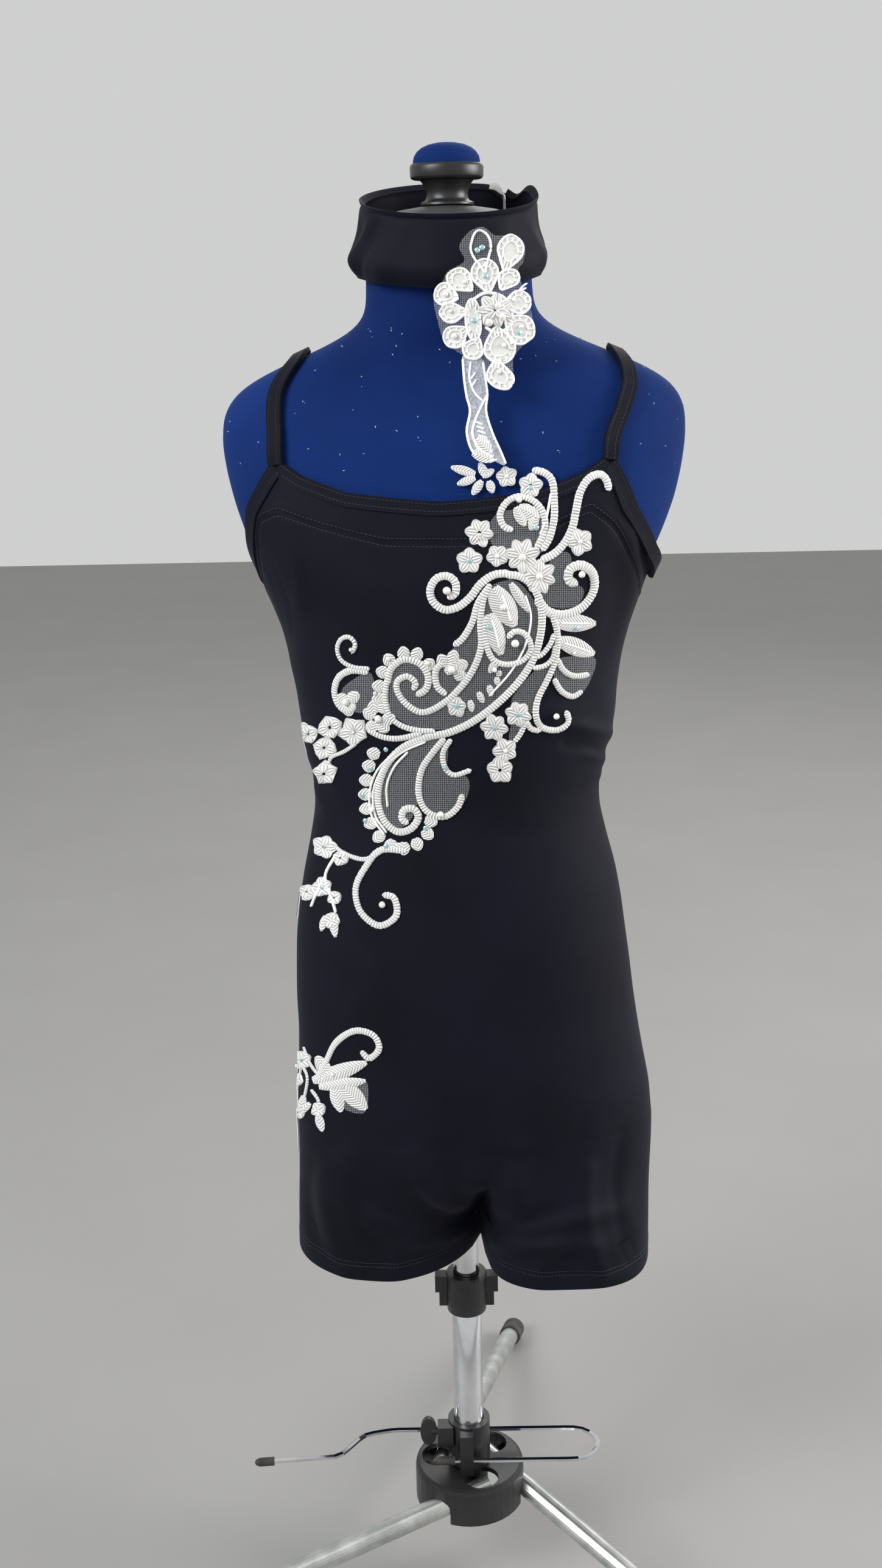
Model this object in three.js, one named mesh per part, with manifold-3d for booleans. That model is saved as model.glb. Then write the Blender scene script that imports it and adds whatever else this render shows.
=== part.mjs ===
// Child's dance unitard on a limbless dress form with a tripod stand. Millimetres, +Z up.
import * as THREE from 'three'
import { mergeVertices } from 'three/addons/utils/BufferGeometryUtils.js'
import Module from 'manifold-3d'

const wasm = await Module()
wasm.setup()

// ---- driving sizes ----
const CLEAR = 1.4 // cloth's inner face off the form
const WALL = 1.2 // one layer of knit
const FOLD = 2.2 // folded bindings, straps and hems
const SEAM = 0.25 // each edge stands back this far from its seam line
const LACE_OFF = 0.3
const LACE = 1.0
const HEM_Z = 292
const HEM_TOP = 304
const CROTCH_Z = 318
const PINCH_TOP = 380 // the leg split starts to show below this
const CENTRE_X = 12.5 // crotch seam
const CROTCH_HALF = 5
const BIND = 9 // binding width
const OUTER_TUBE = { r: 11.1, bore: 10, z0: 62, z1: 255.6 }
const INNER_TUBE = { r: 9.5, bore: 8.5, z0: 120, z1: 430 }
const HUB = { r: 41.7, z0: 67, z1: 97, wall: 3, top: 4, boss: 14 }
const LEG = { r: 8, bore: 6.6, side: 23.8, slope: 14, pivotZ: 85.4, back: 9, length: 318, first: 77.4 }
const CAP = { r: 9.8, bore: 8.3, length: 22 }
const WIRE = { r: 2, z: 110 }

// Sections of the form: height, centre x, half width, front and back depth, corner exponent.
const FORM = [
  [396, 8.0, 125, 74.6, 84.6, 2.5], [420, 7.5, 123.6, 76, 86, 2.5], [443, 6.0, 120.6, 77, 86, 2.4],
  [467, 4.5, 118, 77, 86, 2.4], [490, 2.5, 116.6, 77, 85, 2.3], [514, 1.5, 114.8, 77, 83, 2.3],
  [537, 0.5, 112.6, 76, 80, 2.3], [560, 0.5, 109.6, 75, 76, 2.2], [582, 0.5, 105.6, 73, 72, 2.2],
  [604, 0, 100.1, 71, 68, 2.2], [627, -0.5, 95.2, 69, 65, 2.2], [648, -0.5, 94.7, 69, 64, 2.2],
  [670, 0, 100, 72, 65, 2.2], [692, 1, 104, 75, 66, 2.2], [713, 0.5, 105.6, 78, 68, 2.2],
  [734, 0, 109, 81, 70, 2.2], [755, 0.5, 113.6, 84, 72, 2.2], [775, 0.5, 120.5, 85, 74, 2.2],
  [796, 0.5, 128, 85, 76, 2.3], [815, 1, 136, 83, 77, 2.4], [836, 1.5, 143, 80, 77, 2.5],
  [856, 1.5, 147.5, 76, 76, 2.5], [875, 1.5, 150, 71, 74, 2.5], [893, 2, 149, 64, 70, 2.4],
  [906, 3, 142, 57, 64, 2.3], [916, 4, 128, 51, 58, 2.2], [925, 4.5, 108, 46, 53, 2.1],
  [933, 4, 88, 45, 50, 2], [941, 3, 70, 45, 49, 2], [949, 1.5, 58, 46, 49, 2],
  [958, 0.5, 53.5, 47, 49, 2], [978, 0, 52.5, 48, 49, 2], [1004, 0, 51, 48, 48, 2],
]
// Leg openings: centre x, half width, front and back depth, corner exponent.
const LEGS = { left: [-55, 64.8, 60, 68, 2.3], right: [73.1, 57.7, 74, 72, 2.4] }
// Finished top edge of the bodice, all round: degrees from the wearer's left side, height.
const TOP_EDGE = [
  [-180, 793], [-170, 803], [-160, 822], [-153, 838], [-144, 852], [-137, 864], [-133, 870],
  [-125, 860], [-112, 850], [-92, 844], [-75, 849], [-62, 860], [-55, 870], [-51, 862], [-42, 838],
  [-25, 812], [-10, 796], [0, 793], [20, 798], [40, 815], [55, 842], [70, 838], [90, 835],
  [110, 838], [125, 842], [140, 815], [160, 798], [180, 793],
]
// Seam under the yoke and side fronts, and the seam that parts them from the yoke.
const YOKE_SEAM = [
  [-180, 765], [-170, 780], [-155, 812], [-146, 832], [-135, 838], [-118, 828], [-104, 820],
  [-88, 819], [-72, 825], [-60, 838], [-50, 826], [-38, 806], [-20, 780], [0, 765],
]
const YOKE_ENDS = [-138, -58]
const BODY_ROWS = 20

const material = (colour, roughness, metalness = 0) =>
  new THREE.MeshStandardMaterial({ color: colour, roughness, metalness })
const KNIT = material('#14151d', 0.85)
const JERSEY = material('#1a3f96', 0.9)
const LACE_WHITE = material('#e9e6df', 0.6)
const CHROME = material('#c8cacc', 0.15, 1)
const ZINC = material('#b9bcbc', 0.35, 1)
const PLASTIC = material('#17181a', 0.4)
const RUBBER = material('#2b2a29', 0.8)

const group = new THREE.Group()
const add = (name, geometry, mat) => {
  const mesh = new THREE.Mesh(geometry, mat)
  mesh.name = name
  group.add(mesh)
}

// ---- surfaces ----
const along = (table, key) => {
  let i = 1
  while (i < table.length - 1 && table[i][0] < key) i++
  const [a, b] = [table[i - 1], table[i]]
  const t = Math.min(1, Math.max(0, (key - a[0]) / (b[0] - a[0])))
  return a.map((v, k) => v + (b[k] - v) * t)
}
const smooth = (t) => {
  const s = Math.min(1, Math.max(0, t))
  return s * s * (3 - 2 * s)
}
const power = (v, e) => Math.sign(v) * Math.abs(v) ** e
const rad = (deg) => (deg * Math.PI) / 180
const loop = ([x, a, f, b, n], deg, z) => {
  const [c, s] = [Math.cos(rad(deg)), Math.sin(rad(deg))]
  return new THREE.Vector3(x + a * power(c, 2 / n), (s < 0 ? f : b) * power(s, 2 / n), z)
}
const depthOf = ([x, a, f, b, n], px, front) => {
  const t = 1 - Math.min(1, Math.abs(px - x) / a) ** n
  return (front ? f : b) * t ** (1 / n)
}
const formPoint = (deg, z) => loop(along(FORM, z).slice(1), deg, z)
const bodyPoint = (deg, z) => {
  const p = formPoint(deg, z)
  if (z >= PINCH_TOP) return p
  const s = smooth((z - CROTCH_Z) / (PINCH_TOP - CROTCH_Z))
  const [lo, hi] = [LEGS.left[0] - LEGS.left[1], LEGS.right[0] + LEGS.right[1]]
  const sec = along(FORM, z).slice(1)
  const t = (p.x - sec[0] + sec[1]) / (2 * sec[1])
  const x = lo + (hi - lo) * t
  const front = p.y < 0
  const legs = Math.max(depthOf(LEGS.left, x, front), depthOf(LEGS.right, x, front))
  const near = CROTCH_HALF * Math.exp(-(((x - CENTRE_X) / 12) ** 2))
  const y = Math.hypot(legs, near) * (front ? -1 : 1)
  return new THREE.Vector3(x + (p.x - x) * s, y + (p.y - y) * s, z)
}
const normalOf = (surface, deg, z) => {
  const du = surface(deg + 1, z).sub(surface(deg - 1, z))
  const dv = surface(deg, z + 1.5).sub(surface(deg, z - 1.5))
  return du.cross(dv).normalize()
}
const lift = (surface, deg, z, off) =>
  surface(deg, z).addScaledVector(normalOf(surface, deg, z), off)

// ---- solids ----
// A closed wall between two grids of points, open or closed round its first direction.
const wall = (outer, inner, ring) => {
  const [nu, nv] = [outer.length, outer[0].length]
  const at = (face, i, j) => face * nu * nv + (i % nu) * nv + j
  const position = [...outer.flat(), ...inner.flat()].flatMap((p) => p.toArray())
  const index = []
  const quad = (a, b, c, d) => index.push(a, b, c, a, c, d)
  const last = ring ? nu : nu - 1
  for (let i = 0; i < last; i++) {
    for (let j = 0; j < nv - 1; j++) {
      quad(at(0, i, j), at(0, i + 1, j), at(0, i + 1, j + 1), at(0, i, j + 1))
      quad(at(1, i, j + 1), at(1, i + 1, j + 1), at(1, i + 1, j), at(1, i, j))
    }
    quad(at(1, i, 0), at(1, i + 1, 0), at(0, i + 1, 0), at(0, i, 0))
    quad(at(0, i, nv - 1), at(0, i + 1, nv - 1), at(1, i + 1, nv - 1), at(1, i, nv - 1))
  }
  if (!ring) {
    for (let j = 0; j < nv - 1; j++) {
      quad(at(1, 0, j + 1), at(1, 0, j), at(0, 0, j), at(0, 0, j + 1))
      quad(at(0, nu - 1, j + 1), at(0, nu - 1, j), at(1, nu - 1, j), at(1, nu - 1, j + 1))
    }
  }
  let volume = 0
  const v = (i) => new THREE.Vector3().fromArray(position, 3 * i)
  for (let i = 0; i < index.length; i += 3)
    volume += v(index[i]).dot(v(index[i + 1]).cross(v(index[i + 2])))
  if (volume < 0)
    for (let i = 0; i < index.length; i += 3)
      [index[i + 1], index[i + 2]] = [index[i + 2], index[i + 1]]
  const g = new THREE.BufferGeometry()
  g.setAttribute('position', new THREE.Float32BufferAttribute(position, 3))
  g.setIndex(index)
  g.computeVertexNormals()
  return g
}
const grid = (nu, nv, ring, f) =>
  Array.from({ length: ring ? nu : nu + 1 }, (_, i) =>
    Array.from({ length: nv + 1 }, (_, j) => f(i / nu, j / nv)))

// A piece on the body between two edges, each giving degrees and height at u from 0 to 1.
const piece = (name, lower, upper, nu, nv, inner, thick, mat = KNIT, surface = bodyPoint) => {
  const at = (off) => grid(nu, nv, false, (u, v) => {
    const [a, b] = [lower(u), upper(u)]
    return lift(surface, a[0] + (b[0] - a[0]) * v, a[1] + (b[1] - a[1]) * v, off)
  })
  add(name, wall(at(inner + thick), at(inner)), mat)
}
const spread = (from, to, f) => (u) => {
  const deg = from + (to - from) * u
  return [deg, f(deg)]
}
const topEdge = (deg) => along(TOP_EDGE, deg)[1]
const seamEdge = (deg) => along(YOKE_SEAM, deg)[1]
// The edge moved down, square to itself, by a distance in mm.
const inset = (edge, by) => (u) => {
  const [d, z] = edge(u)
  const step = 0.004
  const [p, q] = [edge(Math.max(0, u - step)), edge(Math.min(1, u + step))]
  const r = bodyPoint(d + 1, z).distanceTo(bodyPoint(d - 1, z)) / 2
  const [ds, dz] = [(q[0] - p[0]) * r, q[1] - p[1]]
  const n = Math.hypot(ds, dz)
  const way = ds > 0 ? 1 : -1
  return [d + (way * by * dz) / n / r, z - (way * by * ds) / n]
}

// ---- dress form ----
const lathe = (profile, sides = 28) => {
  const twiceArea = profile.reduce((sum, [r, z], i) => {
    const [r1, z1] = profile[(i + 1) % profile.length]
    return sum + r * z1 - r1 * z
  }, 0)
  const points = profile.map(([r, z]) => new THREE.Vector2(r, z))
  const g = new THREE.LatheGeometry(twiceArea < 0 ? points.reverse() : points, sides)
  g.rotateX(Math.PI / 2)
  return g
}
const toManifold = (g) => {
  const plain = g.clone()
  plain.deleteAttribute('normal')
  plain.deleteAttribute('uv')
  const m = mergeVertices(plain, 1e-3)
  return new wasm.Manifold(new wasm.Mesh({
    numProp: 3,
    vertProperties: new Float32Array(m.attributes.position.array),
    triVerts: new Uint32Array(m.index.array),
  }))
}
const fromManifold = (m) => {
  const mesh = m.getMesh()
  const g = new THREE.BufferGeometry()
  g.setAttribute('position', new THREE.BufferAttribute(new Float32Array(mesh.vertProperties), 3))
  g.setIndex(new THREE.BufferAttribute(new Uint32Array(mesh.triVerts), 1))
  g.computeVertexNormals()
  return g
}
const rod = (r, z0, z1, sides = 32) => wasm.Manifold.cylinder(z1 - z0, r, r, sides).translate([0, 0, z0])
const box = (x0, x1, y0, y1, z0, z1) =>
  wasm.Manifold.cube([x1 - x0, y1 - y0, z1 - z0]).translate([x0, y0, z0])

const FORM_SIDES = 56
const formGeometry = () => {
  const rows = FORM.map((row) => row[0])
  const points = rows.flatMap((z) =>
    Array.from({ length: FORM_SIDES }, (_, i) => formPoint((360 * i) / FORM_SIDES, z)))
  const position = points.flatMap((p) => p.toArray())
  const index = []
  rows.slice(1).forEach((_, j) => {
    for (let i = 0; i < FORM_SIDES; i++) {
      const [a, b] = [j * FORM_SIDES + i, j * FORM_SIDES + ((i + 1) % FORM_SIDES)]
      index.push(a, b, b + FORM_SIDES, a, b + FORM_SIDES, a + FORM_SIDES)
    }
  })
  ;[0, rows.length - 1].forEach((j, top) => {
    const centre = position.length / 3
    position.push(0, 0, rows[j])
    for (let i = 0; i < FORM_SIDES; i++) {
      const pair = [j * FORM_SIDES + i, j * FORM_SIDES + ((i + 1) % FORM_SIDES)]
      if (!top) pair.reverse()
      index.push(...pair, centre)
    }
  })
  const g = new THREE.BufferGeometry()
  g.setAttribute('position', new THREE.Float32BufferAttribute(position, 3))
  g.setIndex(index)
  return g
}
const torso = toManifold(formGeometry()).subtract(rod(INNER_TUBE.r + 0.3, 370, INNER_TUBE.z1 + 2))
add('form_torso', fromManifold(torso), JERSEY)
add('neck_cap', lathe([[0, 1004.3], [48, 1004.3], [48, 1008], [42, 1013.5], [28, 1017.5],
  [16, 1019], [0, 1019]]), PLASTIC)
add('knob_spool', lathe([[0, 1019.3], [16, 1019.3], [16, 1021], [13, 1023], [13, 1027],
  [17, 1034.6], [0, 1034.6]]), PLASTIC)
add('knob_ring', lathe([[0, 1034.9], [21.5, 1034.9], [23, 1036.4], [23, 1043], [22.4, 1044.5],
  [0, 1044.5]]), PLASTIC)
add('pincushion', lathe([[0, 1044.8], [21, 1044.8], [21, 1048], [18.5, 1052.5], [13, 1055.5],
  [6, 1056.8], [0, 1057]]), JERSEY)

// ---- stand ----
const tube = ({ r, bore, z0, z1 }) =>
  lathe([[bore, z0], [r, z0], [r, z1], [bore, z1], [bore, z0]], 32)
add('outer_tube', tube(OUTER_TUBE), CHROME)
add('inner_tube', tube(INNER_TUBE), CHROME)
const clampBody = toManifold(lathe([[11.4, 230], [14.6, 230], [15.4, 236], [15.6, 259], [14.6, 261],
  [9.9, 261], [9.9, 256], [11.4, 256], [11.4, 230]]))
const clampLugs = wasm.Manifold.union([
  box(-23.5, 23.5, -5, 5, 246, 259), box(-20.5, 20.5, -4, 4, 234, 246),
]).subtract(rod(14, 228, 262))
add('height_collar', fromManifold(clampBody.add(clampLugs)), PLASTIC)

const legTurn = (k) => LEG.first + 120 * k
// From a leg's own lengthwise and crosswise directions to the stand's.
const legPlace = (m, k) => m.translate([0, LEG.side, LEG.pivotZ]).rotate([0, 0, legTurn(k)])
const legSlope = (m) => m.rotate([0, LEG.slope, 0])
const alongRod = (r, x0, x1, sides = 24) =>
  wasm.Manifold.cylinder(x1 - x0, r, r, sides).rotate([0, 90, 0]).translate([x0, 0, 0])
const pin = (r, y0, y1) =>
  wasm.Manifold.cylinder(y1 - y0, r, r, 16).rotate([-90, 0, 0]).translate([0, y0, 0])
let hub = toManifold(lathe([[HUB.boss, HUB.z1 - HUB.top], [HUB.boss, HUB.z0 + 2],
  [OUTER_TUBE.r + 0.3, HUB.z0 + 2], [OUTER_TUBE.r + 0.3, HUB.z1], [HUB.r - 3, HUB.z1],
  [HUB.r - 0.8, HUB.z1 - 1], [HUB.r, HUB.z1 - 3.5], [HUB.r, HUB.z0], [HUB.r - HUB.wall, HUB.z0],
  [HUB.r - HUB.wall, HUB.z1 - HUB.top], [HUB.boss, HUB.z1 - HUB.top]], 40))
for (let k = 0; k < 3; k++) {
  const swept = legSlope(wasm.Manifold.union([
    alongRod(LEG.r + 0.5, -LEG.back - 1.5, 60), box(-LEG.back - 1.5, 60, -8.5, 8.5, -60, 0),
  ]))
  const opening = wasm.Manifold.cylinder(20, 12.5, 12.5, 32).scale([1.08, 1, 1])
    .translate([-1, 1, 4])
  hub = hub.subtract(legPlace(swept.add(opening), k).subtract(rod(HUB.boss, 0, 120)))
}
for (let k = 0; k < 3; k++)
  hub = hub.add(legPlace(pin(2.5, HUB.boss - LEG.side - 1, HUB.r - LEG.side - 1.5), k))
add('hub', fromManifold(hub), PLASTIC)
const FEET = ['back', 'left', 'right']
FEET.forEach((where, k) => {
  const leg = alongRod(LEG.r, -LEG.back, LEG.length)
    .subtract(alongRod(LEG.bore, 12, LEG.length + 1)).subtract(pin(2.8, -10, 10))
  add(`leg_${where}`, fromManifold(legPlace(legSlope(leg), k)), ZINC)
  const end = LEG.length + 2.5
  const cap = alongRod(CAP.r, end - CAP.length, end).subtract(
    alongRod(CAP.bore, end - CAP.length - 1, LEG.length + 0.3))
  const placed = legPlace(legSlope(cap), k).trimByPlane([0, 0, 1], 0)
  add(`leg_cap_${where}`, fromManifold(placed), RUBBER)
})

// ---- hem marker ----
const HOLDER = { z0: 98, z1: 134, r: 16, screwY: -7, screwZ: 127 }
let holder = rod(HOLDER.r, HOLDER.z0, HOLDER.z1)
  .add(box(-7, 3, -24.5, -12, 99, 133)).add(box(-5, 5, 12, 23, 99, 122))
  .add(box(-24, -12, -13, -1, 116, 133))
  .subtract(rod(OUTER_TUBE.r + 0.4, 90, 140))
const screwHole = alongRod(3.4, -40, -8).translate([0, HOLDER.screwY, HOLDER.screwZ])
holder = holder.subtract(screwHole)
  .subtract(alongRod(WIRE.r + 0.4, -30, 30, 16).translate([0, -20.5, WIRE.z]))
  .subtract(alongRod(WIRE.r + 0.4, -30, 30, 16).translate([0, 17.5, WIRE.z]))
add('marker_holder', fromManifold(holder), PLASTIC)
const paddle = wasm.Manifold.cylinder(4, 6.2, 6.2, 32).scale([1, 1.9, 1]).translate([0, 0, -2])
  .rotate([90, 0, 0]).translate([-31, HOLDER.screwY, HOLDER.screwZ])
const screw = alongRod(3, -29, -13.2).translate([0, HOLDER.screwY, HOLDER.screwZ]).add(paddle)
add('thumb_screw', fromManifold(screw), PLASTIC)

const line = (points) => {
  const path = new THREE.CurvePath()
  const v = points.map(([x, y]) => new THREE.Vector3(x, y, WIRE.z))
  let from = v[0]
  for (let i = 1; i < v.length - 1; i++) {
    const cut = (a) => v[i].clone().lerp(a, Math.min(0.5, 6 / v[i].distanceTo(a)))
    const [p, q] = [cut(v[i - 1]), cut(v[i + 1])]
    path.add(new THREE.LineCurve3(from, p))
    path.add(new THREE.QuadraticBezierCurve3(p, v[i], q))
    from = q
  }
  path.add(new THREE.LineCurve3(from, v[v.length - 1]))
  return path
}
const bend = Array.from({ length: 11 }, (_, i) => {
  const a = Math.PI / 2 - (Math.PI * i) / 10
  return [80 + 19.5 * Math.cos(a), -1.5 + 19 * Math.sin(a)]
})
const wirePath = line([[-158, -19], [-99.6, -13.7], [-82, 12], [-60, 17.5], ...bend, [60, -20.5], [-20, -20.5]])
const round = new THREE.Shape().absarc(0, 0, WIRE.r, 0, 2 * Math.PI)
add('marker_wire', new THREE.ExtrudeGeometry(round,
  { extrudePath: wirePath, steps: 60, bevelEnabled: false, curveSegments: 3 }), CHROME)
const wireCap = (x, y, turn) => {
  const g = new THREE.LatheGeometry([[0, 0.3], [2.4, 0.3], [2.4, -9], [3.2, -9], [3.2, 2], [2, 5],
    [0, 6]].map((p) => new THREE.Vector2(...p)), 20)
  g.rotateZ(Math.PI / 2).rotateZ(turn).translate(x, y, WIRE.z)
  return g
}
add('wire_cap_back', wireCap(-158, -19, 0.09), RUBBER)
add('wire_cap_front', wireCap(-20, -20.5, 0), RUBBER)

// ---- cut pieces of the unitard ----
const SIDES = [-180, 0]
const flat = (z) => () => z
piece('front_body', spread(SIDES[0] + 0.08, SIDES[1] - 0.08, flat(CROTCH_Z)),
  inset(spread(SIDES[0] + 0.08, SIDES[1] - 0.08, seamEdge), SEAM + 0.2), 32, BODY_ROWS, CLEAR, WALL)
piece('back_body', spread(0.08, 179.92, flat(CROTCH_Z)),
  inset(spread(0.08, 179.92, topEdge), BIND + SEAM + 0.4), 32, BODY_ROWS, CLEAR, WALL)
const underTop = BIND + SEAM + 0.4
const seamUp = (from, to) => inset(spread(from, to, seamEdge), -SEAM - 0.2)
const topDown = (from, to) => inset(spread(from, to, topEdge), underTop)
piece('yoke_band', seamUp(YOKE_ENDS[0] + 5, YOKE_ENDS[1] - 3), topDown(YOKE_ENDS[0] + 9, YOKE_ENDS[1] - 5),
  20, 2, CLEAR, WALL)
piece('side_front_left', seamUp(-179.92, YOKE_ENDS[0] - 3), topDown(-179.92, YOKE_ENDS[0] - 3), 10, 2, CLEAR, WALL)
piece('side_front_right', seamUp(YOKE_ENDS[1] + 3, -0.08), topDown(YOKE_ENDS[1] + 7, -0.08), 10, 2, CLEAR, WALL)

const binding = (name, from, to, n) => piece(name, inset(spread(from, to, topEdge), BIND),
  spread(from, to, topEdge), n, 1, CLEAR, FOLD)
binding('neck_binding_front', -127, -61, 18)
binding('neck_binding_back', 60, 120, 14)
binding('armhole_binding_right_front', -48, -0.1, 14)
binding('armhole_binding_right_back', 0.1, 49, 12)
binding('armhole_binding_left_back', 131, 179.9, 12)
binding('armhole_binding_left_front', -179.9, -141, 14)

// Straps: degrees and height of the two edges, front joint to back joint.
const strap = (name, rows) => {
  const edge = (k) => (u) => {
    const t = u * (rows.length - 1)
    const i = Math.min(rows.length - 2, Math.floor(t))
    return [0, 1].map((c) => rows[i][k + c] + (rows[i + 1][k + c] - rows[i][k + c]) * (t - i))
  }
  piece(name, edge(0), edge(2), 24, 1, CLEAR + 0.6, FOLD, KNIT, formPoint)
}
strap('strap_left', [[-136, 873, -130, 873], [-138, 886, -131, 887], [-142, 900, -134, 903],
  [-150, 914, -142, 919], [-164, 922, -160, 929], [-180, 925, -180, 932], [-199, 921, -203, 928],
  [-214, 907, -222, 913], [-222, 885, -230, 887], [-228, 862, -236, 862], [-231, 846, -239, 846]])
strap('strap_right', [[-52, 873, -58, 873], [-48, 886, -55, 888], [-42, 900, -50, 904],
  [-31, 914, -39, 919], [-15, 921, -19, 928], [0, 924, 0, 931], [19, 920, 23, 927],
  [34, 907, 42, 913], [42, 885, 50, 887], [48, 862, 56, 862], [51, 846, 59, 846]])

// Legs and hems: rings below the crotch seam.
for (const side of ['left', 'right']) {
  const surface = (deg, z) => loop(LEGS[side], deg, z)
  const ring = (z0, z1, inner, thick) => {
    const at = (off) => grid(40, 1, true, (u, v) => lift(surface, -360 * u + 4.5, z0 + (z1 - z0) * v, off))
    return wall(at(inner + thick), at(inner), true)
  }
  add(`leg_panel_${side}`, ring(HEM_TOP + SEAM, CROTCH_Z - 2 * SEAM, CLEAR, WALL), KNIT)
  add(`leg_hem_${side}`, ring(HEM_Z, HEM_TOP - SEAM, CLEAR, WALL + 0.3), KNIT)
}
add('crotch_gusset', fromManifold(box(10.6, 14.6, -2.4, 2.4, CROTCH_Z, CROTCH_Z + WALL)), KNIT)

// Stand-away collar: a doubled band, lower in front, with its fastening gap at the back.
const COLLAR = { x: 1, y: -2.5, half: 57.5, deep: 55.5, gap: 1.2, at: 48 }
const collarPoint = (deg, v) => {
  const s = Math.sin(rad(deg))
  const [z0, z1] = [978 + 7 * s, 1024 + 11 * s]
  const flare = 1.5 * Math.sin(Math.PI * v) - 2.5 * v
  return new THREE.Vector3(COLLAR.x + (COLLAR.half + flare) * Math.cos(rad(deg)),
    COLLAR.y + (COLLAR.deep + flare) * s, z0 + (z1 - z0) * v)
}
const collarGrid = (inset) => grid(48, 3, false, (u, v) => {
  const deg = COLLAR.at + COLLAR.gap + (360 - 2 * COLLAR.gap) * u
  const p = collarPoint(deg, v)
  const way = new THREE.Vector3(Math.cos(rad(deg)), Math.sin(rad(deg)), 0)
  return p.addScaledVector(way, -inset)
})
add('collar', wall(collarGrid(0), collarGrid(FOLD)), KNIT)

// ---- lace panels ----
const degAt = (x, z) => {
  const [, cx, a, , , n] = along(FORM, z)
  const t = Math.min(1, Math.abs(x - cx) / a) ** (n / 2)
  return -(180 / Math.PI) * Math.acos(Math.sign(x - cx) * t)
}
// Each row: height, left and right reach in x.
const lace = (name, rows, nu = 6) => {
  const at = (off) => grid(nu, rows.length - 1, false, (u, v) => {
    const [z, x0, x1] = rows[Math.round(v * (rows.length - 1))]
    return lift(bodyPoint, degAt(x0 + (x1 - x0) * u, z), z, off)
  })
  const base = CLEAR + FOLD + LACE_OFF
  add(name, wall(at(base + LACE), at(base)), LACE_WHITE)
}
lace('lace_chest', [[866, 20, 52], [856, 16, 68], [840, 14, 82], [823, 12, 92], [806, 8, 94], [790, 10, 92],
  [775, 18, 92], [760, 20, 86], [745, 18, 76], [731, 12, 60]], 8)
lace('lace_waist', [[750, -50, -12], [738, -68, -2], [726, -72, 6], [714, -72, 30], [702, -66, 28],
  [688, -58, 14], [672, -60, 10], [656, -63, 10], [640, -62, 4], [626, -60, -8], [612, -60, -26],
  [598, -62, -44], [582, -64, -40], [568, -62, -38]], 8)
lace('lace_sprig', [[722, -96, -76], [706, -98, -74], [690, -98, -76], [674, -96, -78], [660, -92, -80]], 3)
lace('lace_branch', [[616, -90, -70], [600, -90, -72], [584, -92, -74], [566, -88, -76], [552, -84, -76]], 3)
lace('lace_hip', [[482, -92, -58], [468, -100, -56], [452, -108, -60], [436, -108, -64], [422, -104, -66]], 6)
// Hanging pieces from collar to neckline: height, left and right x, left and right y.
const hanging = (name, rows, nu) => {
  const at = (off) => grid(nu, rows.length - 1, false, (u, v) => {
    const [z, x0, x1, y0, y1] = rows[Math.round(v * (rows.length - 1))]
    return new THREE.Vector3(x0 + (x1 - x0) * u, y0 + (y1 - y0) * u - off, z)
  })
  add(name, wall(at(LACE), at(0)), LACE_WHITE)
}
hanging('lace_flower', [[1008, 12, 34, -60, -55], [994, -2, 46, -63, -52], [978, -10, 50, -64, -53],
  [962, -12, 52, -66, -56], [946, -10, 52, -68, -58], [930, 2, 48, -69, -60], [918, 14, 38, -70, -66]], 5)
hanging('lace_link', [[916, 10, 26, -71, -70], [904, 14, 28, -72, -71], [892, 12, 27, -75, -74],
  [880, 16, 34, -80, -79], [869, 20, 38, -84, -83]], 2)

// The stand's whole outline is centred on the origin.
const bounds = new THREE.Box3().setFromObject(group)
const centre = bounds.getCenter(new THREE.Vector3())
group.children.forEach((m) => m.geometry.translate(-centre.x, -centre.y, -bounds.min.z))

export default group
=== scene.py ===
"""Looks of a child's dance unitard on a limbless dress form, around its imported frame."""

import math
import random

import bpy
import numpy as np
from mathutils import Matrix, Vector
from mathutils.geometry import delaunay_2d_cdt


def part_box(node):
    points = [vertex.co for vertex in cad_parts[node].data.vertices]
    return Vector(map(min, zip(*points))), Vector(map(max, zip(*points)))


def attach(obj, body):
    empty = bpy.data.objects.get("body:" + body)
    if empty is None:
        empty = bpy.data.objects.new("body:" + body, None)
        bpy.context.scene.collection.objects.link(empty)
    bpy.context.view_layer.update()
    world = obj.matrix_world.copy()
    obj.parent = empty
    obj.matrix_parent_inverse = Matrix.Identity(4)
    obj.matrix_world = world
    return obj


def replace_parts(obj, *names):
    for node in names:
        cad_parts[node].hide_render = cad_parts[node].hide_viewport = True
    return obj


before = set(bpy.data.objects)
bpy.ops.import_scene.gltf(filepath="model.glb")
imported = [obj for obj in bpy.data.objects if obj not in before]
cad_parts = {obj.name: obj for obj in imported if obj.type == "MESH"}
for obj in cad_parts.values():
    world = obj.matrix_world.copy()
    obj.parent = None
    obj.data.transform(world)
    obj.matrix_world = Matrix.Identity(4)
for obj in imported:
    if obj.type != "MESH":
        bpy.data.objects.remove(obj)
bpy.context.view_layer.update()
random.seed(5)

# ---- the pole's axis in the frame, in mm; pieces are made in mm about it ----
low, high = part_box("outer_tube")
AXIS = np.array([(low.x + high.x) * 500, (low.y + high.y) * 500, 0.0])

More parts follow.
